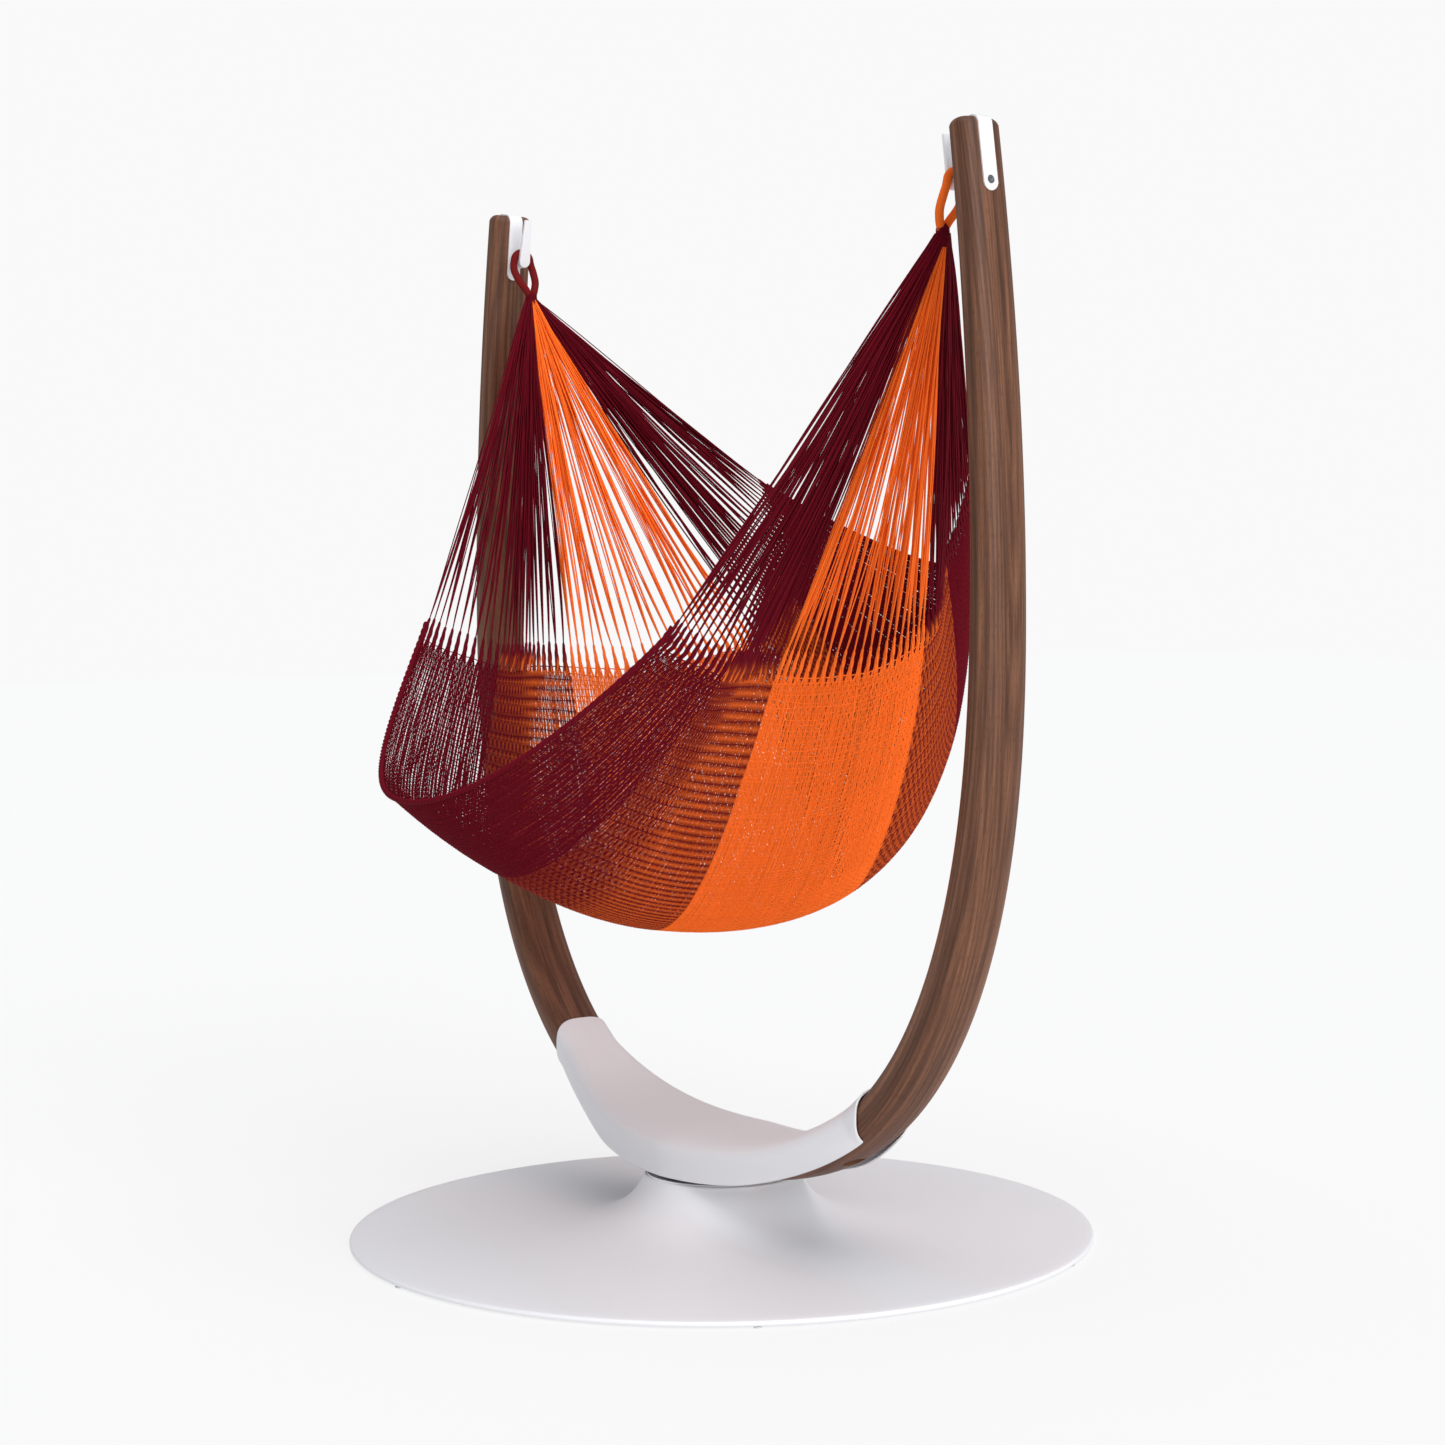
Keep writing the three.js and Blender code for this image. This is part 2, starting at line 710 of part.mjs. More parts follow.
function armCuts() {
  const recess = disc(bolt.recessRadius, -30, bolt.recessDepth, 24);
  const hole = disc(bolt.armRadius + bolt.holeClearance, 0, bolt.armLength + 0.6, 12);
  const planed = new THREE.BoxGeometry(900, 400, 200).translate(0, 0, cradleTop + gap - 100);
  const grooveOutline = strapOutline(-hook.inset - hook.slotClearance, 40);
  const width = hook.width + 2 * hook.slotClearance;
  const topZ = arch.topZ + 100;
  const groove = toManifold(plateInXZ(grooveOutline, width));
  const middle = toManifold(new THREE.BoxGeometry(200, 200, 500)
    .translate(topStation.point.x + 100 + 6, 0, arch.topZ));
  const slotEnd = hook.slotClearance;
  const outerSlot = groove.intersect(middle).intersect(roundEnded(width, width, hook.outerEndZ - slotEnd, topZ));
  const innerSlot = groove.subtract(middle).intersect(roundEnded(width, width, hook.innerEndZ - slotEnd, topZ));
  const cuts = [
    toManifold(placeUnderArm(recess)),
    toManifold(placeUnderArm(hole)),
    toManifold(planed),
    outerSlot,
    innerSlot,
    toManifold(strapBolt(bolt.holeClearance)),
  ];
  bolt.cradleX.forEach((x) => {
    const top = cradleBottom - gap + bolt.cradleLength + 0.6;
    cuts.push(toManifold(disc(bolt.cradleRadius + bolt.holeClearance, 0, top, 12).translate(x, 0, 0)));
  });
  const footGap = new THREE.BoxGeometry(200, 400, 400);
  cuts.push(toManifold(footGap.translate(wood.footGap / 2 - 100, 0, footZ)));
  return cuts;
}

function arms() {
  let arm = toManifold(loft(woodBlank()));
  armCuts().forEach((cut) => {
    arm = arm.subtract(cut);
  });
  const hookSolid = hookBody().subtract(toManifold(strapBolt(bolt.holeClearance)));
  const boltPiece = strapBolt(0);
  const { washer, screw } = armHardware();
  sides.forEach(([name, side]) => {
    addPart(`${name}_arm`, onSide(toGeometry(arm), side), walnut);
    addPart(`${name}_hook`, onSide(toGeometry(hookSolid), side), whiteCoat);
    addPart(`${name}_strap_bolt`, onSide(boltPiece, side), zinc);
    addPart(`${name}_arm_bolt`, onSide(screw, side), zinc);
    addPart(`${name}_arm_washer`, onSide(washer, side), zinc);
  });
}

// ---- saddle ------------------------------------------------------------------------------------

// The saddle's half width at its lower edge: boat shaped, widest in the middle.
function boatHalfWidth(x) {
  const share = Math.min(Math.abs(x) / saddle.halfLength, 1);
  const blend = share ** saddle.taperPower;
  return THREE.MathUtils.lerp(saddle.middleHalfWidth, saddle.endHalfWidth, blend);
}

// One long line of the saddle's skin over the right arm: the wood's own section line at this angle,
// moved out by offset and spread to the boat shape.
function saddleLine(stations, degrees, offset) {
  const angle = THREE.MathUtils.degToRad(degrees);
  const [depth, wide] = sectionPoint(angle);
  const below = depth > 0;
  return stations.map((s) => {
    const boat = boatHalfWidth(s.point.x) - saddle.skin - saddle.woodClearance;
    const half = widthAt(s.share) / 2;
    const round = wide * (Math.max(half, boat) + offset);
    const upright = Math.max(wide * half, boat) + offset;
    const tuck = below ? THREE.MathUtils.smoothstep(s.point.x, saddle.tuckFrom, saddle.halfLength) : 1;
    const reach = depth * (thicknessAt(s.share) / 2 + offset);
    const point = s.point.clone().addScaledVector(s.outward, reach);
    point.y = THREE.MathUtils.lerp(upright, round, tuck);
    return point;
  });
}

function lineAtX(line, x) {
  const i = Math.max(1, line.findIndex((p) => p.x >= x));
  const share = (x - line[i - 1].x) / (line[i].x - line[i - 1].x);
  return line[i - 1].clone().lerp(line[i], share);
}

function saddleCover() {
  const stations = archStations(240).slice(0, 120);
  const angles = saddle.sectionAngles;
  const skins = [saddle.woodClearance, saddle.woodClearance + saddle.skin].map((offset) =>
    angles.map((degrees) => saddleLine(stations, degrees, offset)));
  const steps = 28;
  const rings = [];
  for (let i = 0; i <= steps; i++) {
    const x = saddle.halfLength * (2 * i / steps - 1);
    const [inside, outside] = skins.map((lines) => {
      const half = lines.map((line) => lineAtX(line, Math.abs(x)).setX(x));
      const other = half.slice(0, -1).reverse().map((p) => new THREE.Vector3(x, -p.y, p.z));
      return [...half, ...other];
    });
    rings.push([...outside, ...inside.reverse()]);
  }
  return stripLoft(rings, rings[0].length / 2);
}

// ---- hammock -----------------------------------------------------------------------------------

// Smooth curve through evenly spaced values, v from 0 to 1.
function smooth(values, v) {
  const last = values.length - 1;
  const at = THREE.MathUtils.clamp(v, 0, 1) * last;
  const i = Math.min(Math.floor(at), last - 1);
  const t = at - i;
  const value = (k) => values[THREE.MathUtils.clamp(k, 0, last)];
  const [a, b, c, d] = [value(i - 1), value(i), value(i + 1), value(i + 2)];
  return b + 0.5 * t * (c - a + t * (2 * a - 5 * b + 4 * c - d + t * (3 * (b - c) + d - a)));
}

const warpValue = (key, v) => smooth(warpLines.map((line) => line[key]), v);

// Point of the net: v across from front to back, t along a warp, with the knots at -1 and 1 and the
// apexes at -2 and 2.
function netPoint(v, t) {
  const knotX = netSpread * warpValue('knotX', v);
  const knotDrop = netDepth * warpValue('knotDrop', v);
  const side = Math.abs(t);
  const inWeave = side <= 1;
  const x = inWeave ? knotX * side : knotX + (net.apexX - knotX) * (side - 1);
  const sagging = (netDepth * warpValue('drop', v) - knotDrop) * (1 - side ** warpValue('sag', v));
  const drop = inWeave ? knotDrop + sagging : knotDrop * (2 - side);
  const turn = inWeave ? 1 - side ** 2 : 0;
  const degrees = THREE.MathUtils.lerp(warpValue('knotAngle', v), warpValue('midAngle', v), turn);
  const angle = THREE.MathUtils.degToRad(degrees);
  return new THREE.Vector3(Math.sign(t) * x, drop * Math.sin(angle), net.apexZ - drop * Math.cos(angle));
}

// How far v runs for one millimetre across the net at t, near v.
function acrossRate(v, t) {
  const step = 0.02;
  const low = Math.max(0, v - step);
  const high = Math.min(1, v + step);
  return (high - low) / netPoint(low, t).distanceTo(netPoint(high, t));
}

function netPanel(v0, v1, t0, t1, margins, thickness, uSteps, vSteps) {
  const at = (u, w) => {
    const t = t0 + (t1 - t0) * u;
    const start = v0 + margins[0] * acrossRate(v0, t);
    const end = v1 - margins[1] * acrossRate(v1, t);
    return netPoint(start + (end - start) * w, t);
  };
  return sheet(at, thickness, uSteps, vSteps);
}

function weave() {
  const bands = [
    ['bed_front_band', maroonYarn],
    ['bed_front_stripe', mixedYarn],
    ['bed_middle', orangeYarn],
    ['bed_back_stripe', mixedYarn],
    ['bed_back_band', maroonYarn],
  ];
  const knotGap = 0.004;
  bands.forEach(([name, material], i) => {
    const first = i === 0;
    const last = i === bands.length - 1;
    const margins = [first ? net.selvedgeInset : gap, last ? net.selvedgeInset : gap];
    const [v0, v1] = [i / bands.length, (i + 1) / bands.length];
    const thickness = net.bandThickness[i];
    const panel = netPanel(v0, v1, -1 + knotGap, 1 - knotGap, margins, thickness, 18, 3);
    addPart(name, panel, material);
  });
}

function strands() {
  const fans = [
    ['front_strands', 0, 0.4, maroonYarn, 6],
    ['middle_strands', 0.4, 0.6, orangeYarn, 3],
    ['back_strands', 0.6, 1, maroonYarn, 6],
  ];
  const knotGap = 0.006;
  sides.forEach(([name, side]) => {
    fans.forEach(([fan, v0, v1, material, steps]) => {
      const margins = [0.5, 0.5];
      const t0 = side * (1 + knotGap);
      const t1 = side * (1 + net.strandReach);
      const panel = netPanel(v0, v1, t0, t1, margins, net.strandThickness, 6, steps);
      addPart(`${name}_${fan}`, panel, material);
    });
  });
}

function selvedges() {
  [['front_selvedge', 0], ['back_selvedge', 1]].forEach(([name, v]) => {
    const points = [];
    for (let i = 0; i <= 24; i++) {
      points.push(netPoint(v, -0.99 + 1.98 * i / 24));
    }
    addPart(name, ropeAlong(points, net.selvedgeRadius, 8, 26), maroonYarn);
  });
}

// Each end loop lies over its hook's round bar along Y, and both its legs run down into the binding.
// A leg's shape is given by [share of its height, air between it and the middle].
const loopLeg = [[0, 1.8], [0.07, 2.1], [0.22, 7], [0.45, 14], [0.72, 16], [0.9, 14]];

function endLoops() {
  const top = net.apexZ + rope.bindingHeight;
  const start = top + 0.12 * rope.radius;   // clear of the rope's slanting cut end
  const reach = hook.barRadius + gap + rope.radius;
  const leg = loopLeg.map(([share, air]) => {
    const forward = THREE.MathUtils.smoothstep(share, 0, 1);
    const x = THREE.MathUtils.lerp(net.apexX, rope.hangX, forward);
    return new THREE.Vector3(x, rope.radius + air, start + (hook.barZ - start) * share);
  });
  const over = [0, 30, 60].map((degrees) => {
    const angle = THREE.MathUtils.degToRad(degrees);
    const z = hook.barZ + reach * Math.sin(angle);
    return new THREE.Vector3(rope.hangX, reach * Math.cos(angle), z);
  });
  const half = [...leg, ...over];
  const crossing = new THREE.Vector3(rope.hangX, 0, hook.barZ + reach);
  const otherHalf = half.map((p) => new THREE.Vector3(p.x, -p.y, p.z)).reverse();
  const loop = ropeAlong([...half, crossing, ...otherHalf], rope.radius, 8, 24);
  const r = rope.bindingRadius;
  const binding = turned([
    [0, net.apexZ],
    [r * 0.8, net.apexZ],
    [r, net.apexZ + r * 0.4],
    [r, top - r * 0.4],
    [r * 0.85, top],
    [0, top],
  ], 16).translate(net.apexX, 0, 0);
  const colours = { left: maroonYarn, right: orangeYarn };
  sides.forEach(([name, side]) => {
    addPart(`${name}_end_loop`, onSide(loop, side), colours[name]);
    addPart(`${name}_loop_binding`, onSide(binding, side), maroonYarn);
  });
}

// ---- assembly ----------------------------------------------------------------------------------

addPart('base_plate', basePlate(), whiteCoat);
glidePads();
swivelParts();
cradle();
arms();
addPart('saddle', saddleCover(), whiteCoat);
weave();
strands();
selvedges();
endLoops();

export default object;
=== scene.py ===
"""Looks of a net hammock chair on a bentwood stand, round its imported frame. Metres, +Z up."""

import math

import bmesh
import bpy
import numpy as np
from mathutils import Matrix, Vector


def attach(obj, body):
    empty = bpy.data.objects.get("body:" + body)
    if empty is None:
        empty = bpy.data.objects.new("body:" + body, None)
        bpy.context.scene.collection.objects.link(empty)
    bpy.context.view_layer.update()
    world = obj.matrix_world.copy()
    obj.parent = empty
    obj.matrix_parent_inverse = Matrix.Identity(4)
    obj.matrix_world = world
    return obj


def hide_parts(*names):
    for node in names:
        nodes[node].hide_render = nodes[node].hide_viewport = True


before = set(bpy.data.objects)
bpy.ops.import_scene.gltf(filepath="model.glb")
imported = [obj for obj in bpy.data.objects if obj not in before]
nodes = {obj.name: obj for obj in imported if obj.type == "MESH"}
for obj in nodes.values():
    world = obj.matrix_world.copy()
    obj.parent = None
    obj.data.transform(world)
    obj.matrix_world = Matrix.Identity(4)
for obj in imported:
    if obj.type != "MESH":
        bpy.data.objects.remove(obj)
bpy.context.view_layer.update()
rng = np.random.default_rng(11)

# ---- camera and studio ---------------------------------------------------------------------------

camera_data = bpy.data.cameras.new("camera")
camera = bpy.data.objects.new("camera", camera_data)
bpy.context.scene.collection.objects.link(camera)
bpy.context.scene.camera = camera
camera_data.lens = 70.56
camera_data.sensor_width = 36
camera_data.shift_x = -0.0375
camera_data.shift_y = -0.0175
camera_data.clip_end = 100

TURN, DIP, ROLL = 0.943877, 0.041504, -0.005907  # radians
EYE = (4.45172, -3.08829, 1.25723)
ahead = Vector((-math.sin(TURN) * math.cos(DIP), math.cos(TURN) * math.cos(DIP), -math.sin(DIP)))
level = Vector((math.cos(TURN), math.sin(TURN), 0))
above = level.cross(ahead)
right = math.cos(ROLL) * level + math.sin(ROLL) * above
upward = math.cos(ROLL) * above - math.sin(ROLL) * level
camera.matrix_world = Matrix.Translation(EYE) @ Matrix(
    (right, upward, -ahead)).transposed().to_4x4()


def smoothstep(x, low, high):
    """0 below low, 1 above high, and an even ease between them."""
    s = np.clip((x - low) / (high - low), 0, 1)
    return s * s * (3 - 2 * s)


def linear(hexcode):
    """sRGB hex colour as linear RGBA."""
    parts = [int(hexcode[i:i + 2], 16) / 255 for i in (1, 3, 5)]
    return [c / 12.92 if c <= 0.04045 else ((c + 0.055) / 1.055) ** 2.4 for c in parts] + [1]


bpy.context.scene.view_settings.view_transform = "Standard"
bpy.context.scene.view_settings.look = "None"

world = bpy.data.worlds.new("pale studio")
bpy.context.scene.world = world
world.use_nodes = True
sky = world.node_tree
fill = sky.nodes["Background"]
fill.inputs["Color"].default_value = linear("#f2f4f8")
fill.inputs["Strength"].default_value = 0.56
paper = sky.nodes.new("ShaderNodeBackground")
paper.inputs["Color"].default_value = linear("#f9f9f9")
seen = sky.nodes.new("ShaderNodeLightPath")
either = sky.nodes.new("ShaderNodeMixShader")
sky.links.new(seen.outputs["Is Camera Ray"], either.inputs[0])
sky.links.new(fill.outputs[0], either.inputs[1])
sky.links.new(paper.outputs[0], either.inputs[2])
sky.links.new(either.outputs[0], sky.nodes["World Output"].inputs["Surface"])


def soft_sun(name, strength, spread, towards):
    data = bpy.data.lights.new(name, "SUN")
    data.energy = strength
    data.angle = math.radians(spread)
    lamp = bpy.data.objects.new(name, data)
    bpy.context.scene.collection.objects.link(lamp)
    lamp.rotation_mode = "QUATERNION"
    lamp.rotation_quaternion = Vector(towards).to_track_quat("-Z", "Y")


soft_sun("overhead softbox", 1.38, 60, (-0.35, 0.1, -1))
soft_sun("side softbox", 1.6, 40, (-1, 0.1, -0.35))

# ---- node helpers --------------------------------------------------------------------------------


def add_node(tree, kind, links=None, **settings):
    """Adds a node, sets its properties, and fills its inputs from values or nodes' sockets."""
    made = tree.nodes.new(kind)
    for name, value in settings.items():
        setattr(made, name, value)
    for key, value in (links or {}).items():
        socket = made.inputs[key]
        if isinstance(value, bpy.types.NodeSocket):
            tree.links.new(value, socket)
        elif isinstance(value, bpy.types.Node):
            tree.links.new(value.outputs[0], socket)
        else:
            socket.default_value = value
    return made


def new_material(name):
    material = bpy.data.materials.new(name)
    material.use_nodes = True
    tree = material.node_tree
    return material, tree, tree.nodes["Principled BSDF"]


def set_inputs(shader, **values):
    for name, value in values.items():
        shader.inputs[name.replace("_", " ")].default_value = value


def ramp(tree, value, stops):
    made = add_node(tree, "ShaderNodeValToRGB", {"Fac": value})
    elements = made.color_ramp.elements
    while len(elements) < len(stops):
        elements.new(0.5)
    for element, (place, hexcode) in zip(elements, stops):
        element.position = place
        element.color = linear(hexcode)
    return made


# ---- materials -----------------------------------------------------------------------------------

# Polyester powder coat on steel: satin white, with the faint orange peel of a baked coat.
powder_coat, tree, shader = new_material("satin powder coat")
set_inputs(shader, Base_Color=linear("#e3e3e6"), Roughness=0.42, Specular_IOR_Level=0.45)
place = add_node(tree, "ShaderNodeTexCoord").outputs["Object"]
peel = add_node(tree, "ShaderNodeTexNoise", {"Vector": place, "Scale": 420.0, "Detail": 2.0})
bump = add_node(tree, "ShaderNodeBump", {"Height": peel, "Strength": 0.06, "Distance": 0.0004})
tree.links.new(bump.outputs[0], shader.inputs["Normal"])
mottle = add_node(tree, "ShaderNodeTexNoise", {"Vector": place, "Scale": 9.0, "Detail": 3.0})
satin = add_node(tree, "ShaderNodeMapRange", {"Value": mottle, "To Min": 0.38, "To Max": 0.47})
tree.links.new(satin.outputs[0], shader.inputs["Roughness"])

# Oiled walnut veneer on a bent lamination: brown, with fine long grain that runs round the bend,
# tall cathedral figure where the cut crosses the growth rings, and short dark pores. The pattern
# reads the arm's own map, in metres: across the section, then along the bend.
walnut, tree, shader = new_material("oiled walnut veneer")
set_inputs(shader, Roughness=0.5, Specular_IOR_Level=0.3)
grain_map = add_node(tree, "ShaderNodeUVMap", uv_map="grain").outputs[0]


def stretched_noise(across, along, **inputs):
    """Noise drawn out along the grain; across and along are its features per metre."""
    space = add_node(tree, "ShaderNodeMapping",
                     {"Vector": grain_map, "Scale": (across, along, 1.0)})
    return add_node(tree, "ShaderNodeTexNoise",
                    {"Vector": space, "Scale": 1.0, **inputs}).outputs[0]


def weighed(value, weight, rest=None):
    """The value times its weight, added to the rest."""
    return add_node(tree, "ShaderNodeMath", {0: value, 1: weight, 2: rest or 0.0},
                    operation="MULTIPLY_ADD").outputs[0]


figure = stretched_noise(11.0, 0.55, Detail=1.0, Roughness=0.3)
RINGS = 40.0
ring_place = add_node(tree, "ShaderNodeMath", {0: figure, 1: RINGS}, operation="MULTIPLY")
late_wood = add_node(tree, "ShaderNodeMath", {0: ring_place.outputs[0], 1: 1.0},
                     operation="PINGPONG")
fibres = stretched_noise(650.0, 9.0, Detail=3.0, Roughness=0.65)
streaks = stretched_noise(70.0, 1.4, Detail=2.0)
light = weighed(late_wood.outputs[0], -0.09, weighed(fibres, 0.42, weighed(streaks, 0.50)))
wood_colour = ramp(tree, light, [(0.22, "#382013"), (0.38, "#5a3826"),
                                 (0.50, "#774e37"), (0.68, "#966a4e")])
pores = stretched_noise(1300.0, 60.0, Detail=1.0)
pore_mask = add_node(tree, "ShaderNodeMapRange",
                     {"Value": pores, "From Min": 0.62, "From Max": 0.74})
pore_mix = add_node(tree, "ShaderNodeMix", {"Factor": pore_mask, "A": wood_colour.outputs[0],
                                            "B": linear("#3a2216")}, data_type="RGBA")
tree.links.new(pore_mix.outputs["Result"], shader.inputs["Base Color"])
wood_rough = add_node(tree, "ShaderNodeMapRange", {"Value": fibres, "To Min": 0.42, "To Max": 0.6})
tree.links.new(wood_rough.outputs[0], shader.inputs["Roughness"])
bump = add_node(tree, "ShaderNodeBump", {"Height": fibres, "Strength": 0.15, "Distance": 0.0004})
tree.links.new(bump.outputs[0], shader.inputs["Normal"])


def metal(name, hexcode, roughness, grit):
    """Bare or plated steel, with the fine streaks of turning and handling."""
    material, tree, shader = new_material(name)
    set_inputs(shader, Base_Color=linear(hexcode), Metallic=1.0)
    place = add_node(tree, "ShaderNodeTexCoord").outputs["Object"]
    streaks = add_node(tree, "ShaderNodeTexNoise", {"Vector": place, "Scale": grit, "Detail": 4.0})
    rough = add_node(tree, "ShaderNodeMapRange", {"Value": streaks, "To Min": roughness - 0.08,
                                                  "To Max": roughness + 0.08})
    tree.links.new(rough.outputs[0], shader.inputs["Roughness"])
    bump = add_node(tree, "ShaderNodeBump",
                    {"Height": streaks, "Strength": 0.08, "Distance": 0.0002})
    tree.links.new(bump.outputs[0], shader.inputs["Normal"])
    return material


zinc = metal("bright zinc plate", "#c3c6ca", 0.3, 900.0)
bearing_steel = metal("turned bearing steel", "#8f9398", 0.35, 600.0)
black_steel = metal("blackened steel", "#2b2b2e", 0.5, 500.0)
stainless = metal("brushed stainless steel", "#85888d", 0.32, 700.0)


def moulded(name, hexcode, roughness):
    """Moulded rubber, faintly grained by its mould."""
    material, tree, shader = new_material(name)
    set_inputs(shader, Base_Color=linear(hexcode), Roughness=roughness)
    place = add_node(tree, "ShaderNodeTexCoord").outputs["Object"]
    grain = add_node(tree, "ShaderNodeTexNoise", {"Vector": place, "Scale": 1500.0, "Detail": 2.0})
    bump = add_node(tree, "ShaderNodeBump", {"Height": grain, "Strength": 0.2, "Distance": 0.0003})
    tree.links.new(bump.outputs[0], shader.inputs["Normal"])
    return material


# EPDM rubber for the seal: matte black. Soft rubber for the glide pads: pale grey.
rubber = moulded("moulded rubber", "#1d1d1f", 0.8)
pale_rubber = moulded("pale soft rubber", "#c9c9cc", 0.7)

MAROON, ORANGE = "#640a1a", "#ff752a"
FUZZ_SCALE = 700.0  # loose fibre ends about 1.4 mm apart


def yarn_material(name):
    """Spun acrylic yarn: soft, with a low sheen. Its share of orange and its depth of dye ride on
    the mesh, because they follow the weave."""
    material, tree, shader = new_material(name)
    set_inputs(shader, Roughness=0.8, Specular_IOR_Level=0.06)
    share = add_node(tree, "ShaderNodeAttribute", attribute_name="orange").outputs["Fac"]
    dye = add_node(tree, "ShaderNodeAttribute", attribute_name="dye").outputs["Fac"]
    place = add_node(tree, "ShaderNodeTexCoord").outputs["Object"]
    fuzz = add_node(tree, "ShaderNodeTexNoise",
                    {"Vector": place, "Scale": FUZZ_SCALE, "Detail": 2.0})
    colour = add_node(tree, "ShaderNodeMix", {"Factor": share, "A": linear(MAROON),
                                              "B": linear(ORANGE)}, data_type="RGBA")
    uneven = add_node(tree, "ShaderNodeMapRange", {"Value": fuzz, "To Min": -0.1, "To Max": 0.1})
    depth = add_node(tree, "ShaderNodeMath", {0: dye, 1: uneven.outputs[0]}, operation="ADD")
    shaded = add_node(tree, "ShaderNodeHueSaturation",
                      {"Value": depth, "Color": colour.outputs["Result"]})
    tree.links.new(shaded.outputs[0], shader.inputs["Base Color"])
    bump = add_node(tree, "ShaderNodeBump", {"Height": fuzz, "Strength": 0.4, "Distance": 0.0006})
    tree.links.new(bump.outputs[0], shader.inputs["Normal"])
    return material


yarn = yarn_material("spun acrylic yarn")

# Pale studio floor: matte white, lit through from below as a light table is, so shadows stay faint.
floor_paint, tree, shader = new_material("lit pale floor")
set_inputs(shader, Base_Color=(0.24, 0.24, 0.242, 1), Roughness=0.9, Specular_IOR_Level=0.0,
           Emission_Color=(1, 1, 1, 1), Emission_Strength=0.695)
place = add_node(tree, "ShaderNodeTexCoord").outputs["Object"]
clouds = add_node(tree, "ShaderNodeTexNoise", {"Vector": place, "Scale": 3.0, "Detail": 2.0})
rough = add_node(tree, "ShaderNodeMapRange", {"Value": clouds, "To Min": 0.86, "To Max": 0.94})
tree.links.new(rough.outputs[0], shader.inputs["Roughness"])

# ---- mesh helpers --------------------------------------------------------------------------------


def mesh_object(name, points, faces, material=None, body=None, smooth=35):
    mesh = bpy.data.meshes.new(name)
    mesh.from_pydata(np.asarray(points).tolist(), [], [list(f) for f in faces])
    mesh.update()
    made = bpy.data.objects.new(name, mesh)
    bpy.context.scene.collection.objects.link(made)
    if material:
        mesh.materials.append(material)
    if smooth:
        soften(made, smooth)
    if body:
        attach(made, body)
    return made


def soften(piece, degrees):
    """Smooth shading, with edges sharper than this left crisp."""
    piece.data.shade_smooth()
    piece.data.set_sharp_from_angle(angle=math.radians(degrees))


def bake(piece):
    """Turns what the piece's modifiers make into a plain mesh and removes them."""
    graph = bpy.context.evaluated_depsgraph_get()
    made = bpy.data.meshes.new_from_object(piece.evaluated_get(graph))
    old = piece.data
    piece.modifiers.clear()
    piece.data = made
    made.name = piece.name
    bpy.data.meshes.remove(old)
    return piece


def turn_outward(piece, weld=1e-6):
    """Joins points that meet and turns every face outward."""
    net = bmesh.new()
    net.from_mesh(piece.data)
    bmesh.ops.remove_doubles(net, verts=net.verts, dist=weld)
    bmesh.ops.recalc_face_normals(net, faces=net.faces)
    net.to_mesh(piece.data)
    net.free()


def grid_faces(rings, count, wrap=True):
    """Quads of a skin through rings of count points each."""
    faces = []
    for i in range(rings - 1):
        for j in range(count if wrap else count - 1):
            a, b = i * count + j, i * count + (j + 1) % count
            faces.append((a, b, b + count, a + count))
    return faces


def turned(name, profile, segments, material, body):
    """Turned piece about the Z axis from (radius, z) points; its outline closes on itself."""
    angles = np.linspace(0, 2 * np.pi, segments, endpoint=False)
    profile = np.asarray(profile)
    points = np.stack([np.outer(np.cos(angles), profile[:, 0]),
                       np.outer(np.sin(angles), profile[:, 0]),
                       np.tile(profile[:, 1], (segments, 1))], axis=-1).reshape(-1, 3)
    count = len(profile)
    faces = []
    for i in range(segments):
        for j in range(count):
            a, b = i * count + j, i * count + (j + 1) % count
            c, d = (i + 1) % segments * count + (j + 1) % count, (i + 1) % segments * count + j
            faces.append((a, b, c, d))
    made = mesh_object(name, points, faces, material, smooth=None)
    turn_outward(made)
    soften(made, 32)
    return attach(made, body)


def finer_copy(node, material, body, edge=0.0006, segments=2):
    """A CAD piece again, its facets merged into clean faces and its edges broken."""
    mesh = nodes[node].data.copy()
    mesh.materials.clear()
    mesh.materials.append(material)
    made = bpy.data.objects.new(f"{node}_finished", mesh)
    bpy.context.scene.collection.objects.link(made)
    net = bmesh.new()
    net.from_mesh(mesh)
    bmesh.ops.remove_doubles(net, verts=net.verts, dist=2e-5)
    bmesh.ops.dissolve_limit(net, angle_limit=math.radians(3), verts=net.verts, edges=net.edges)
    for face in net.faces:
        face.material_index = 0
    net.to_mesh(mesh)
    net.free()
    edges = made.modifiers.new("broken edges", "BEVEL")
    edges.width = edge
    edges.segments = segments
    edges.limit_method = "ANGLE"
    edges.angle_limit = math.radians(38)
    edges.use_clamp_overlap = True
    bake(made)
    soften(made, 30)
    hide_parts(node)
    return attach(made, body)


# ---- base ----------------------------------------------------------------------------------------

BASE_RADIUS, NECK_RADIUS, NECK_TOP, NECK_EDGE = 0.712, 0.150, 0.1195, 0.005
PLATE_TOP, RIM_WIDTH, SHELL, PAD = 0.013, 0.018, 0.006, 0.003


def flare_z(radius):
    """Height of the trumpet-shaped neck's outer skin at a radius."""
    return PLATE_TOP + (NECK_TOP - NECK_EDGE - PLATE_TOP) * (NECK_RADIUS / radius) ** 3


def arc(centre, radius, start, end, steps):
    angles = np.radians(np.linspace(start, end, steps))
    return [(centre[0] + radius * math.cos(a), centre[1] + radius * math.sin(a)) for a in angles]


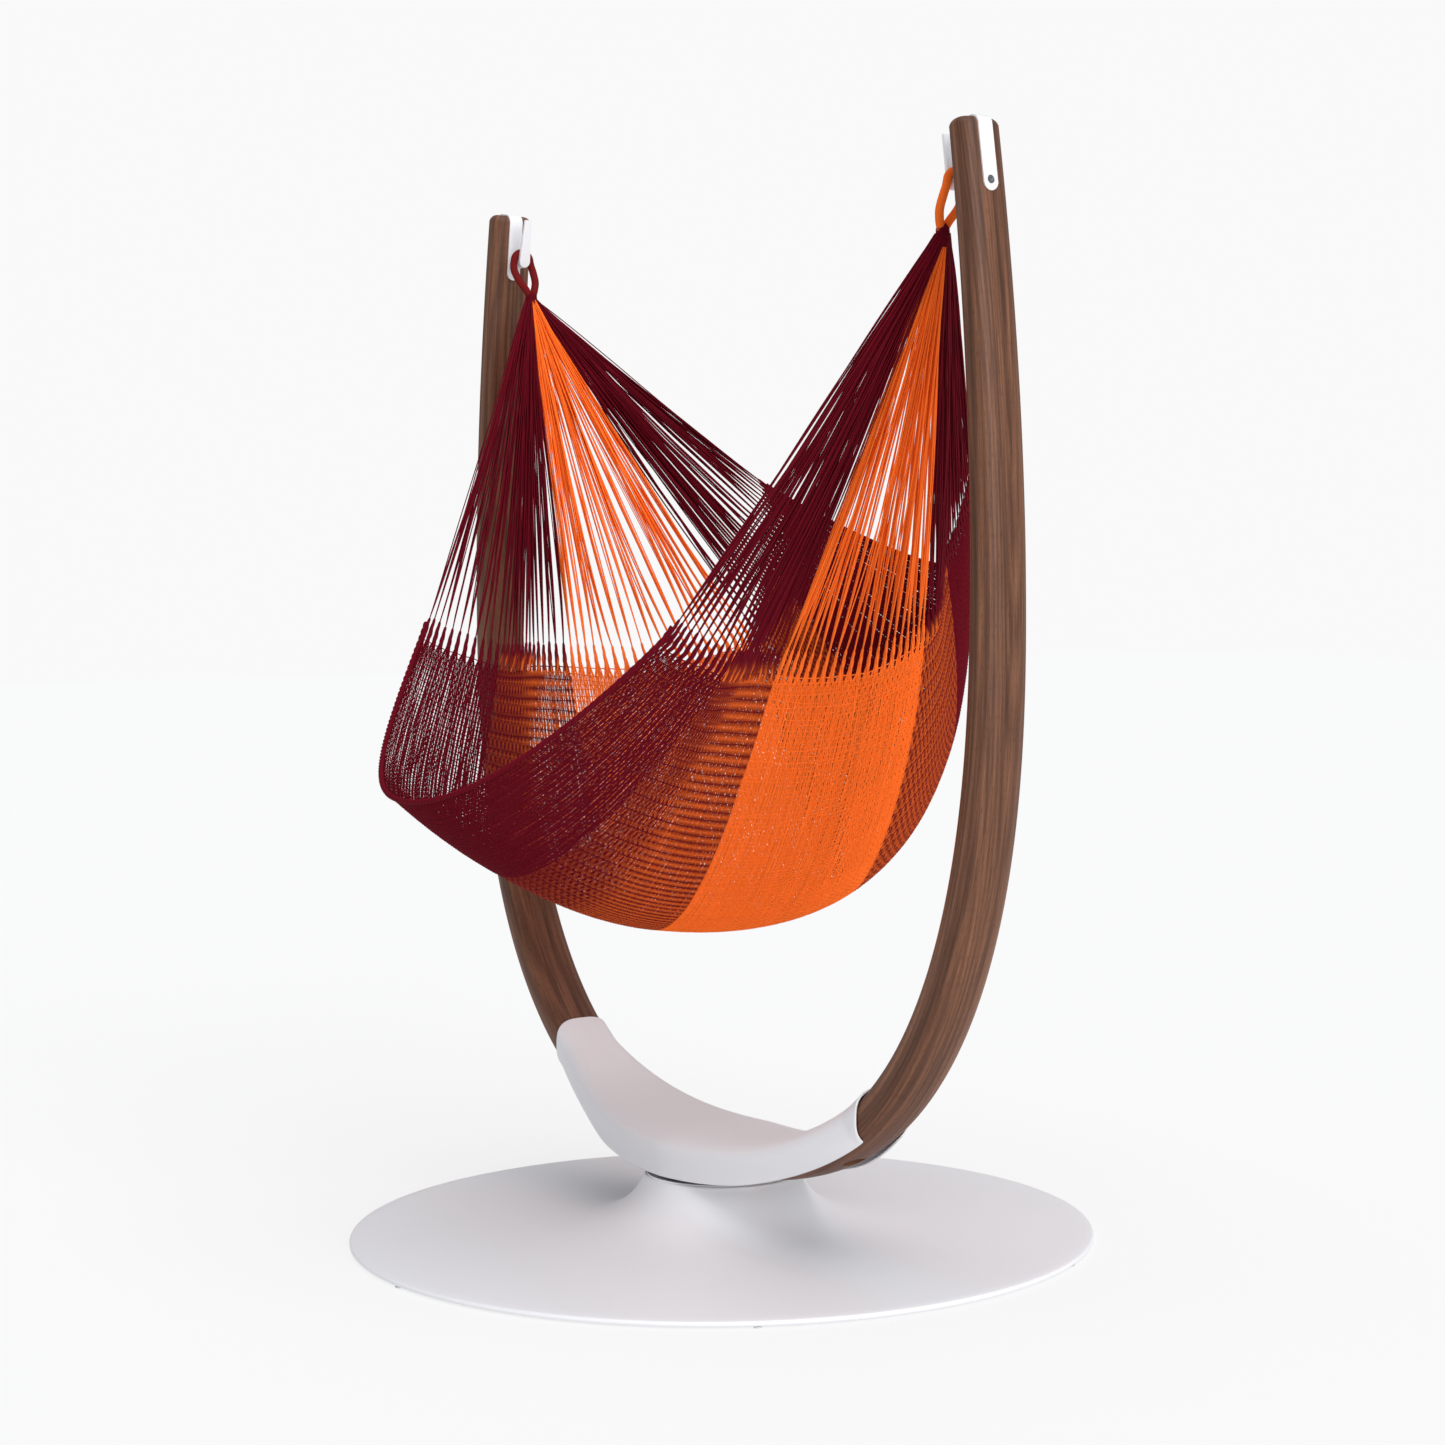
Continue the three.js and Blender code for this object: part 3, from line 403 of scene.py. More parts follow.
rim_inner = BASE_RADIUS - RIM_WIDTH
HOUSING_BORE = 0.0443
outer_flare = [(r, flare_z(r)) for r in np.geomspace(NECK_RADIUS, rim_inner, 60)]
under_flare = [(r, flare_z(r) - SHELL) for r in np.geomspace(NECK_RADIUS - SHELL, rim_inner, 30)]
base_outline = (
    [(HOUSING_BORE, NECK_TOP)]
    + arc((NECK_RADIUS - NECK_EDGE, NECK_TOP - NECK_EDGE), NECK_EDGE, 90, 8, 7)
    + outer_flare
    + arc((BASE_RADIUS - 0.005, PLATE_TOP - 0.005), 0.005, 84, -60, 10)
    + [(BASE_RADIUS - 0.004, PAD), (rim_inner, PAD)]
    + under_flare[::-1]
    + [(NECK_RADIUS - SHELL, NECK_TOP - SHELL), (HOUSING_BORE, NECK_TOP - SHELL)])
base_plate = turned("base_plate_finished", base_outline, 192, powder_coat, "base")
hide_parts("base_plate")

for name, node in nodes.items():
    kind = (pale_rubber if name.startswith("glide") else rubber if name == "dust_seal" else
            black_steel if name == "cradle_plate" else
            bearing_steel if name in ("bearing_housing", "lower_race", "upper_race", "spindle") else
            zinc if name in ("retaining_washer", "retaining_nut", "roller_cage") or "screw" in name
            else None)
    if kind:
        node.data.materials.clear()
        node.data.materials.append(kind)

# ---- bentwood arms -------------------------------------------------------------------------------

HALF_SPAN, WAIST_Z, FOOT_Z, ROUNDNESS = 0.825, 1.275, 0.164, 2.55
LEAN, LEAN_POWER, TOP_Z = 0.102, 1.8, 2.03
FOOT_THICKNESS, TOP_THICKNESS, FOOT_WIDTH, TOP_WIDTH = 0.080, 0.053, 0.122, 0.091
INNER_CORNER, OUTER_CORNER, END_ROUNDING = 3.2, 2.4, 0.016


def arch_stations(shares):
    """Right arm's centre line at these shares of its length: points, tangents, outward normals."""
    bend = np.linspace(0, np.pi / 2, 6001)
    low_x = HALF_SPAN * np.sin(bend) ** (2 / ROUNDNESS)
    low_z = WAIST_Z - (WAIST_Z - FOOT_Z) * np.cos(bend).clip(0) ** (2 / ROUNDNESS)
    rise = np.linspace(0, TOP_Z - WAIST_Z, 2001)[1:]
    line = np.concatenate([np.stack([low_x, low_z], 1),
                           np.stack([HALF_SPAN - LEAN * rise ** LEAN_POWER, WAIST_Z + rise], 1)])
    run = np.concatenate([[0], np.cumsum(np.linalg.norm(np.diff(line, axis=0), axis=1))])

    def at(share):
        where = np.asarray(share) * run[-1]
        return np.stack([np.interp(where, run, line[:, 0]), np.interp(where, run, line[:, 1])], -1)

    shares = np.asarray(shares, float)
    step = 0.004
    tangent = at(np.clip(shares + step, 0, 1)) - at(np.clip(shares - step, 0, 1))
    tangent /= np.linalg.norm(tangent, axis=-1, keepdims=True)
    outward = np.stack([tangent[..., 1], -tangent[..., 0]], -1)
    return at(shares), tangent, outward, run[-1]


def section(angles):
    """The wood's outline for half sizes of 1: outward share and sideways share."""
    c, s = np.cos(angles), np.sin(angles)
    power = np.where(c > 0, OUTER_CORNER, INNER_CORNER)
    reach = (np.abs(c) ** power + np.abs(s) ** power) ** (-1 / power)
    return c * reach, s * reach


def thickness_at(share):
    return FOOT_THICKNESS + (TOP_THICKNESS - FOOT_THICKNESS) * np.asarray(share)


def width_at(share):
    return FOOT_WIDTH + (TOP_WIDTH - FOOT_WIDTH) * np.asarray(share)


def arm_rings(shares, inset, shift, angles):
    centre, tangent, outward, _ = arch_stations(shares)
    depth, wide = section(angles)
    half_t = thickness_at(shares) / 2 - inset
    half_w = width_at(shares) / 2 - inset
    points = np.zeros((len(shares), len(angles), 3))
    reach = np.outer(half_t, depth)
    for axis, column in ((0, 0), (2, 1)):
        points[..., axis] = (centre[:, None, column] + tangent[:, None, column] * shift[:, None]
                             + outward[:, None, column] * reach)
    points[..., 1] = np.outer(half_w, wide)
    return points


GRAIN_RING = 100    # the section, about half way up, that the grain's width is measured on
GRAIN_OFFSET = 3.7  # moves the right arm's figure on, so that the two arms differ


def arm(side):
    """One laminated arm, with its grain map in metres: across the section, and along the bend."""
    count = 56
    angles = np.linspace(0, 2 * np.pi, count, endpoint=False) + np.pi
    body = np.linspace(0.0006, 1, 190)[:-1]
    roll = np.radians(np.linspace(0, 88, 9))
    shares = np.concatenate([body, np.ones(9)])
    inset = np.concatenate([np.zeros(len(body)), END_ROUNDING * (1 - np.cos(roll))])
    shift = np.concatenate([np.zeros(len(body)), END_ROUNDING * (np.sin(roll) - 1)])
    rings = arm_rings(shares, inset, shift, angles)
    rings[..., 0] *= side
    total = len(shares)
    points = rings.reshape(-1, 3)
    faces = grid_faces(total, count)
    caps = [tuple(range(count)), tuple((total - 1) * count + j for j in range(count))]
    name = "right" if side > 0 else "left"
    made = mesh_object(f"{name}_arm_finished", points, faces + caps, walnut, smooth=None)
    ring = rings[GRAIN_RING]
    steps_round = np.diff(ring, axis=0, append=ring[:1])
    around = np.concatenate([[0], np.cumsum(np.linalg.norm(steps_round, axis=1))])
    along = np.concatenate([[0], np.cumsum(np.linalg.norm(np.diff(rings[:, 0], axis=0), axis=1))])
    grain = made.data.uv_layers.new(name="grain")
    coords = np.zeros((len(made.data.loops), 2))
    seat = GRAIN_OFFSET if side > 0 else 0.0
    for polygon in made.data.polygons:
        for corner in polygon.loop_indices:
            vertex = made.data.loops[corner].vertex_index
            i, j = divmod(vertex, count)
            if polygon.index < len(faces) and polygon.index % count == count - 1 and j == 0:
                j = count
            coords[corner] = (around[j] + seat, along[i] + seat * 2)
    grain.data.foreach_set("uv", coords.ravel())
    net = bmesh.new()
    net.from_mesh(made.data)
    bmesh.ops.recalc_face_normals(net, faces=net.faces)
    net.to_mesh(made.data)
    net.free()
    cut_recess(made, side)
    soften(made, 40)
    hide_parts(f"{name}_arm")
    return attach(made, "frame")


RECESS_X, RECESS_RADIUS, RECESS_DEPTH, CUTTER_LENGTH = 0.402, 0.021, 0.020, 0.06


def under_arm(side):
    """Place and upward direction of the bolt seat under an arm."""
    shares = np.linspace(0, 0.5, 800)
    centre, _, outward, _ = arch_stations(shares)
    i = int(np.argmax(centre[:, 0] >= RECESS_X))
    reach = thickness_at(shares[i]) / 2
    foot = centre[i] + outward[i] * reach
    inward = -outward[i]
    return Vector((side * foot[0], 0, foot[1])), Vector((side * inward[0], 0, inward[1]))


def cut_recess(made, side):
    place, inward = under_arm(side)
    net = bmesh.new()
    bmesh.ops.create_cone(net, cap_ends=True, segments=40, radius1=RECESS_RADIUS,
                          radius2=RECESS_RADIUS, depth=CUTTER_LENGTH)
    mesh = bpy.data.meshes.new("recess cutter")
    net.to_mesh(mesh)
    net.free()
    mesh.materials.append(walnut)
    cutter = bpy.data.objects.new("recess cutter", mesh)
    bpy.context.scene.collection.objects.link(cutter)
    spin = inward.to_track_quat("Z", "Y").to_matrix().to_4x4()
    mesh.transform(Matrix.Translation(place + inward * (RECESS_DEPTH - CUTTER_LENGTH / 2)) @ spin)
    cut = made.modifiers.new("recess", "BOOLEAN")
    cut.operation = "DIFFERENCE"
    cut.solver = "EXACT"
    cut.object = cutter
    bake(made)
    bpy.data.objects.remove(cutter)


for side in (-1, 1):
    arm(side)

# ---- saddle --------------------------------------------------------------------------------------

SADDLE_HALF, SKIN, WOOD_CLEARANCE = 0.504, 0.004, 0.0018
BOAT_MIDDLE, BOAT_END, BOAT_POWER, TUCK_FROM = 0.145, 0.057, 1.4, 0.200


def boat_half_width(x):
    """Half the saddle's width, widest in the middle and drawn in towards both ends."""
    share = np.minimum(np.abs(x) / SADDLE_HALF, 1)
    return BOAT_MIDDLE + (BOAT_END - BOAT_MIDDLE) * share ** BOAT_POWER


def saddle():
    """The steel cover over the foot: the wood's section lines, moved out and spread to a boat.
    Its lower edges stand upright in the middle and turn in under the wood towards both ends."""
    shares = np.linspace(0.0, 0.5, 900)
    centre, _, outward, _ = arch_stations(shares)
    offset = WOOD_CLEARANCE + SKIN
    degrees = np.concatenate([np.linspace(42, 90, 14), np.linspace(95, 180, 34)])
    depth, wide = section(np.radians(degrees))
    boat = boat_half_width(centre[:, 0]) - SKIN - WOOD_CLEARANCE
    half_w, half_t = width_at(shares) / 2, thickness_at(shares) / 2
    steps = np.concatenate([-np.linspace(SADDLE_HALF, 0, 91)[:-1], np.linspace(0, SADDLE_HALF, 91)])
    lines = []
    for d, w in zip(depth, wide):
        reach = d * (half_t + offset)
        x = centre[:, 0] + outward[:, 0] * reach
        z = centre[:, 1] + outward[:, 1] * reach
        rounded = w * (np.maximum(half_w, boat) + offset)
        upright = np.maximum(w * half_w, boat) + offset
        tuck = smoothstep(centre[:, 0], TUCK_FROM, SADDLE_HALF) if d > 0 else 1
        y = upright + (rounded - upright) * tuck
        lines.append(np.stack([np.interp(np.abs(steps), x, y), np.interp(np.abs(steps), x, z)], -1))
    half = np.stack(lines, 1)
    mirror = half[:, -2::-1] * np.array([-1, 1])
    across = np.concatenate([half, mirror], 1)
    points = np.concatenate([np.repeat(steps[:, None, None], across.shape[1], 1), across], -1)
    count = points.shape[1]
    made = mesh_object("saddle_finished", points.reshape(-1, 3),
                       grid_faces(len(steps), count, False), powder_coat, smooth=None)
    net = bmesh.new()
    net.from_mesh(made.data)
    bmesh.ops.recalc_face_normals(net, faces=net.faces)

    def height_near_middle(face):
        place = face.calc_center_median()
        return place.z if abs(place.x) < 0.05 and abs(place.y) < 0.05 else -1

    top = max(net.faces, key=height_near_middle)
    if top.normal.z < 0:
        bmesh.ops.reverse_faces(net, faces=net.faces)
    net.to_mesh(made.data)
    net.free()
    wall = made.modifiers.new("sheet steel", "SOLIDIFY")
    wall.thickness = SKIN
    wall.offset = -1
    edges = made.modifiers.new("rolled edge", "BEVEL")
    edges.width = 0.0014
    edges.segments = 3
    edges.limit_method = "ANGLE"
    edges.angle_limit = math.radians(50)
    bake(made)
    soften(made, 35)
    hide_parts("saddle")
    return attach(made, "frame")


saddle()

for name in ("left", "right"):
    finer_copy(f"{name}_hook", powder_coat, "frame", 0.0009, 3)
    for part in ("strap_bolt", "arm_bolt", "arm_washer"):
        finish = stainless if part == "strap_bolt" else zinc
        finer_copy(f"{name}_{part}", finish, "frame", 0.0003)

# ---- shape of the net ----------------------------------------------------------------------------

APEX_X, APEX_Z = 0.68, 1.835
KNOT_ANGLE = np.radians([-31, -19, -9, 22, 31, 43])
MID_ANGLE = np.radians([-35, -23, -7, 14, 29, 45])
DROP = np.array([1181, 1212, 1246, 1238, 1098, 780]) / 1000
KNOT_X = np.array([424, 392, 352, 285, 278, 322]) / 1000
KNOT_DROP = np.array([791, 778, 748, 738, 650, 538]) / 1000
SAG = np.array([2.2, 2.05, 1.9, 1.8, 1.7, 1.55])


def smooth_through(values, v):
    """Smooth curve through evenly spaced values, v from 0 to 1."""
    last = len(values) - 1
    at = np.clip(v, 0, 1) * last
    i = np.minimum(np.floor(at).astype(int), last - 1)
    t = at - i
    a, b, c, d = (values[np.clip(i + k, 0, last)] for k in (-1, 0, 1, 2))
    return b + 0.5 * t * (c - a + t * (2 * a - 5 * b + 4 * c - d + t * (3 * (b - c) + d - a)))


def net_point(v, t):
    """Point of the net: v across from front to back, t along a warp, with the knots at -1 and 1."""
    v, t = np.broadcast_arrays(np.asarray(v, float), np.asarray(t, float))
    side = np.abs(t)
    inside = side <= 1
    knot_x, knot_drop = smooth_through(KNOT_X, v), smooth_through(KNOT_DROP, v)
    x = np.where(inside, knot_x * side, knot_x + (APEX_X - knot_x) * (side - 1))
    belly = 1 - np.minimum(side, 1) ** smooth_through(SAG, v)
    sag = (smooth_through(DROP, v) - knot_drop) * belly
    drop = np.where(inside, knot_drop + sag, knot_drop * (2 - side))
    turn = np.where(inside, 1 - side ** 2, 0)
    angle = smooth_through(KNOT_ANGLE, v) * (1 - turn) + smooth_through(MID_ANGLE, v) * turn
    return np.stack([np.sign(t) * x, drop * np.sin(angle), APEX_Z - drop * np.cos(angle)], -1)


# ---- yarn laid along paths -----------------------------------------------------------------------


def yarn_builder():
    """Geometry Nodes: every polyline of the mesh becomes a yarn of its own thickness, round or
    pressed flat."""
    tree = bpy.data.node_groups.new("yarn along its path", "GeometryNodeTree")
    face = tree.interface
    face.new_socket("Geometry", in_out="INPUT", socket_type="NodeSocketGeometry")
    names = {}
    for label, kind in (("Radius", "NodeSocketFloat"), ("Sides", "NodeSocketInt"),
                        ("Pressed", "NodeSocketBool"), ("Height", "NodeSocketFloat"),
                        ("Yarn", "NodeSocketMaterial")):
        names[label] = face.new_socket(label, in_out="INPUT", socket_type=kind).identifier
    face.new_socket("Geometry", in_out="OUTPUT", socket_type="NodeSocketGeometry")
    given = add_node(tree, "NodeGroupInput")
    lines = add_node(tree, "GeometryNodeMeshToCurve", {"Mesh": given.outputs["Geometry"]})
    facing = add_node(tree, "GeometryNodeInputNamedAttribute", {"Name": "facing"},
                      data_type="FLOAT_VECTOR")
    lines = add_node(tree, "GeometryNodeSetCurveNormal",
                     {"Curve": lines, "Selection": given.outputs["Pressed"], "Normal": facing},
                     mode="FREE")
    ring = add_node(tree, "GeometryNodeCurvePrimitiveCircle",
                    {"Resolution": given.outputs["Sides"], "Radius": given.outputs["Radius"]})
    shape = add_node(tree, "ShaderNodeCombineXYZ",
                     {"X": given.outputs["Height"], "Y": 1.0, "Z": 1.0})
    ring = add_node(tree, "GeometryNodeTransform",
                    {"Geometry": ring.outputs["Curve"], "Scale": shape})
    thick = add_node(tree, "GeometryNodeInputNamedAttribute", {"Name": "thick"}, data_type="FLOAT")
    skin = add_node(tree, "GeometryNodeCurveToMesh",
                    {"Curve": lines, "Profile Curve": ring,
                     "Scale": thick.outputs["Attribute"], "Fill Caps": True})
    soft = add_node(tree, "GeometryNodeSetShadeSmooth", {"Geometry": skin})
    real = add_node(tree, "GeometryNodeRealizeInstances", {"Geometry": soft})
    dyed = add_node(tree, "GeometryNodeSetMaterial",
                    {"Geometry": real, "Material": given.outputs["Yarn"]})
    add_node(tree, "NodeGroupOutput", {"Geometry": dyed})
    return tree, names


yarn_tree, yarn_inputs = yarn_builder()


def lay_yarn(name, batches, radius, sides, material, body, height=None):
    """One piece from batches of yarns, each (paths, orange, dye, thick) by yarn and point.
    With a height, a share of their width, the yarns are pressed against the way that a fifth entry
    faces."""
    points, edges, values, start = [], [], {"orange": [], "dye": [], "thick": []}, 0
    facings = []
    for paths, orange, dye, thick, *facing in batches:
        yarns, count = paths.shape[:2]
        facings.append(facing[0].reshape(-1, 3) if facing else np.zeros((yarns * count, 3)))
        points.append(paths.reshape(-1, 3))
        first = start + np.arange(yarns)[:, None] * count + np.arange(count - 1)[None]
        edges.append(np.stack([first, first + 1], -1).reshape(-1, 2))
        for key, value in (("orange", orange), ("dye", dye), ("thick", thick)):
            values[key].append(np.broadcast_to(value, (yarns, count)).ravel())
        start += yarns * count
    points, edges = np.concatenate(points), np.concatenate(edges)
    mesh = bpy.data.meshes.new(name)
    mesh.vertices.add(len(points))
    mesh.vertices.foreach_set("co", points.astype(np.float32).ravel())
    mesh.edges.add(len(edges))
    mesh.edges.foreach_set("vertices", edges.astype(np.int32).ravel())
    for key, value in values.items():
        attribute = mesh.attributes.new(key, "FLOAT", "POINT")
        attribute.data.foreach_set("value", np.concatenate(value).astype(np.float32))
    attribute = mesh.attributes.new("facing", "FLOAT_VECTOR", "POINT")
    attribute.data.foreach_set("vector", np.concatenate(facings).astype(np.float32).ravel())
    mesh.update()
    made = bpy.data.objects.new(name, mesh)
    bpy.context.scene.collection.objects.link(made)
    work = made.modifiers.new("yarn", "NODES")
    work.node_group = yarn_tree
    work[yarn_inputs["Radius"]] = radius
    work[yarn_inputs["Sides"]] = sides
    work[yarn_inputs["Pressed"]] = height is not None
    work[yarn_inputs["Height"]] = float(height or 1)
    work[yarn_inputs["Yarn"]] = material
    bake(made)
    for spent in ("thick", "facing"):
        made.data.attributes.remove(made.data.attributes[spent])
    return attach(made, body)


# ---- weave ---------------------------------------------------------------------------------------

BANDS = ["front_band", "front_stripe", "middle", "back_stripe", "back_band"]
TUFT_COUNT = [11, 14, 20, 13, 15]
WARPS_PER_TUFT, ROWS = 6, 165
COVER, WEFT_RADIUS = 0.97, 0.0014
YARN_WIDTH, LEAST_WIDTH = 0.00173, 0.0022  # of a three-sided yarn 1 mm in radius; the narrowest
WARP_SHIFT, WARP_SHIFT_SPACING = 0.00022, 0.0035  # sideways at each crossing, at this spacing
WARP_RISE, WEFT_RISE = 0.0008, 0.0009  # out of the cloth at each crossing
GATHER_IN, TUFT_RISE = 0.030, 0.040

row_t = np.linspace(-1, 1, ROWS)
tuft_band = np.repeat(np.arange(5), TUFT_COUNT)
tuft_middle_v = np.concatenate([(k + (np.arange(n) + 0.5) / n) / 5
                                for k, n in enumerate(TUFT_COUNT)])
tuft_width_v = np.repeat([0.2 / n for n in TUFT_COUNT], TUFT_COUNT)
inside_tuft = (np.arange(WARPS_PER_TUFT) + 0.5) / WARPS_PER_TUFT - 0.5
warp_v = (tuft_middle_v[:, None] + tuft_width_v[:, None] * inside_tuft).ravel()
warp_band = np.repeat(tuft_band, WARPS_PER_TUFT)
warp_width_v = np.repeat(tuft_width_v, WARPS_PER_TUFT) / WARPS_PER_TUFT
tuft_v = np.repeat(tuft_middle_v, WARPS_PER_TUFT)
WARPS = len(warp_v)
TUFTS = len(tuft_band)
warp_index = np.arange(WARPS)


def pace(v, t, step=1e-3):
    """Metres per unit of t."""
    return np.linalg.norm(net_point(v, t + step) - net_point(v, t - step), axis=-1) / (2 * step)


def wander(shape, size, smoothing):
    """Slow random drift along each row of an array."""
    rough = rng.normal(size=shape)
    kernel = np.hanning(smoothing + 2)[1:-1]
    kernel /= np.sqrt((kernel ** 2).sum())
    return size * np.apply_along_axis(lambda r: np.convolve(r, kernel, mode="same"), 1, rough)


def frame_at(v, t):
    """Place on the net, with the unit vectors across it and square to it."""
    step = 2e-3
    centre = net_point(v, t)
    across = net_point(np.clip(v + step, 0, 1), t) - net_point(np.clip(v - step, 0, 1), t)
    along = net_point(v, t + step) - net_point(v, t - step)
    across /= np.linalg.norm(across, axis=-1, keepdims=True)
    square = np.cross(across, along)
    square /= np.linalg.norm(square, axis=-1, keepdims=True)
    return centre, across, square


def orange_share(v, bar, dash):
    """How much orange shows: all of it in the middle, bars beside that, then fine dashes.

    bar and dash are 1 where a bar or a dash of orange lies, and 0 between them.
    """
    band = v * 5
    front, back = band - 1, band - 3
    nearer = smoothstep(front, 0.36, 0.62)
    share_front = nearer * (0.03 + 0.60 * bar) + (1 - nearer) * dash * (0.12 + 0.45 * front)
    share_back = (0.08 + 0.48 * dash) * (1 - 0.35 * back)
    return np.where(band < 1, 0, np.where(band < 2, share_front, np.where(
        band < 3, 1, np.where(band < 4, share_back, 0))))


def warps():
    """Warp yarns with a weft crossing at each row, gathered into their tufts at both ends."""
    extra = np.linspace(0, 1, 6)[1:]
    rise = TUFT_RISE * 0.55
    beyond = extra[None] * rise / pace(warp_v, 1.02)[:, None]
    t_all = np.concatenate([-(1 + beyond[:, ::-1]), np.tile(row_t, (WARPS, 1)), 1 + beyond], 1)
    side = np.abs(t_all)
    gather_from = 1 - GATHER_IN / pace(warp_v, 0.97)[:, None]
    furthest = side.max(1, keepdims=True)
    pull = 0.6 * smoothstep(side, gather_from, 1.0) + 0.33 * smoothstep(side, 1.0, furthest)
    v_all = warp_v[:, None] * (1 - pull) + tuft_v[:, None] * pull
    centre, across, square = frame_at(v_all, t_all)
    step = 1e-3
    apart = net_point(v_all + step, t_all) - net_point(v_all - step, t_all)
    spread = np.linalg.norm(apart, axis=-1)
    spacing = spread / (2 * step) * warp_width_v[:, None] * (1 - pull)
    count = t_all.shape[1]
    sign = np.where((warp_index[:, None] + np.arange(count)[None]) % 2, 1.0, -1.0)
    over = np.where((warp_index[:, None] // 2 + np.arange(count)[None]) % 2, 1.0, -1.0)
    loose = side < 1
    sway = wander(t_all.shape, 0.17, 15) * spacing * (1 - smoothstep(side, 0.9, 1.0))
    lateral = (WARP_SHIFT * sign * spacing / WARP_SHIFT_SPACING + sway) * loose
    paths = centre + across * lateral[..., None] + square * (WARP_RISE * over * loose)[..., None]
    row = np.arange(count)[None]
    share = orange_share(v_all, row % 2, (row // 2 + warp_index[:, None] // 2) % 2)
    dye = 1 + rng.normal(0, 0.045, (WARPS, 1)) + wander(t_all.shape, 0.03, 9)
    filling = np.clip(spacing / YARN_WIDTH, LEAST_WIDTH / YARN_WIDTH, 3)
    thick = COVER * filling * rng.normal(1, 0.05, (WARPS, 1))
    return paths, share, dye, thick / 1000 / WEFT_RADIUS, square


def wefts():
    """Weft yarns over and under pairs of warps, from selvedge to selvedge."""
    v = warp_v.reshape(-1, 2).mean(1)
    rows = row_t[1:-1]
    vv, tt = np.meshgrid(v, rows)
    tt = tt + wander(tt.shape, 0.0016, 21)
    centre, _, square = frame_at(vv, tt)
    over = np.where((np.arange(len(v))[None] + np.arange(len(rows))[:, None]) % 2, -1.0, 1.0)
    paths = centre + square * (WEFT_RISE * over)[..., None]
    row = np.arange(len(rows))[:, None]
    share = orange_share(vv, row % 2, row % 2)
    dye = 1 + rng.normal(0, 0.04, (len(rows), 1)) + wander(tt.shape, 0.03, 9)
    return paths, share, dye, np.ones(tt.shape), square


warp_set = warps()
weft_set = wefts()
weft_band = warp_band[::2]
# Each band's warps, with the wefts that cross them, become one piece of yarn, and its CAD bed is
# hidden.
for k, label in enumerate(BANDS):
    mine = warp_band == k
    columns = np.flatnonzero(weft_band == k)
    columns = np.arange(columns[0], min(columns[-1] + 2, len(weft_band)))
    batches = [tuple(a[mine] for a in warp_set), tuple(a[:, columns] for a in weft_set)]
    piece = lay_yarn(f"net_{label}", batches, WEFT_RADIUS, 3, yarn, "hammock", 0.55)
    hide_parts(f"bed_{label}")

# ---- tufts, strands and selvedges ----------------------------------------------------------------

THREADS_PER_BUNDLE = 6
THREAD_RADIUS = 0.0013
TUFT_STRAND_RADIUS = 0.0030
CORD_STRAND_RADIUS, CORD_TURNS = 0.0026, 38


def tufts(side):
    """The knotted tufts where the weave ends: each swells, and is bound where its strands leave."""
    v = tuft_middle_v[:, None]
    rise = rng.normal(1, 0.06, (TUFTS, 1)) * TUFT_RISE
    share = np.linspace(-0.45, 1, 12)[None]
    t = side * (1 + share * rise / pace(v, 1.03))
    centre, across, square = frame_at(np.broadcast_to(v, t.shape), t)
    twist = np.linspace(0, 5, 12)[None] + rng.uniform(0, 6, (TUFTS, 1))
    batches = []
    swell = np.interp(share[0], [-0.45, -0.2, 0.1, 0.5, 0.85, 0.93, 1.0],
                      [0.5, 0.8, 1.0, 0.8, 0.6, 0.85, 0.45])
    orange_band = (tuft_band == 2)[:, None]
    mixed = (tuft_band == 1)[:, None] | (tuft_band == 3)[:, None]
    low = smoothstep(share, 0.55, -0.4)
    for strand in range(3):
        phase = twist + strand * 2 * np.pi / 3
        off = (0.0019 * swell)[None, :, None] * (across * np.cos(phase)[..., None]
                                                 + square * np.sin(phase)[..., None])
        wave = np.where(strand == 0, 0.8, 0.15) * np.ones_like(t)
        orange = np.where(orange_band, 1.0, np.where(mixed, wave * low, 0.0))
        dye = 0.92 + rng.normal(0, 0.06, (TUFTS, 1)) + 0 * t
        thick = np.where(orange_band, 0.8, 1.0) * swell[None] * np.ones_like(t)
        batches.append((centre + off, orange, dye, thick))
    return batches


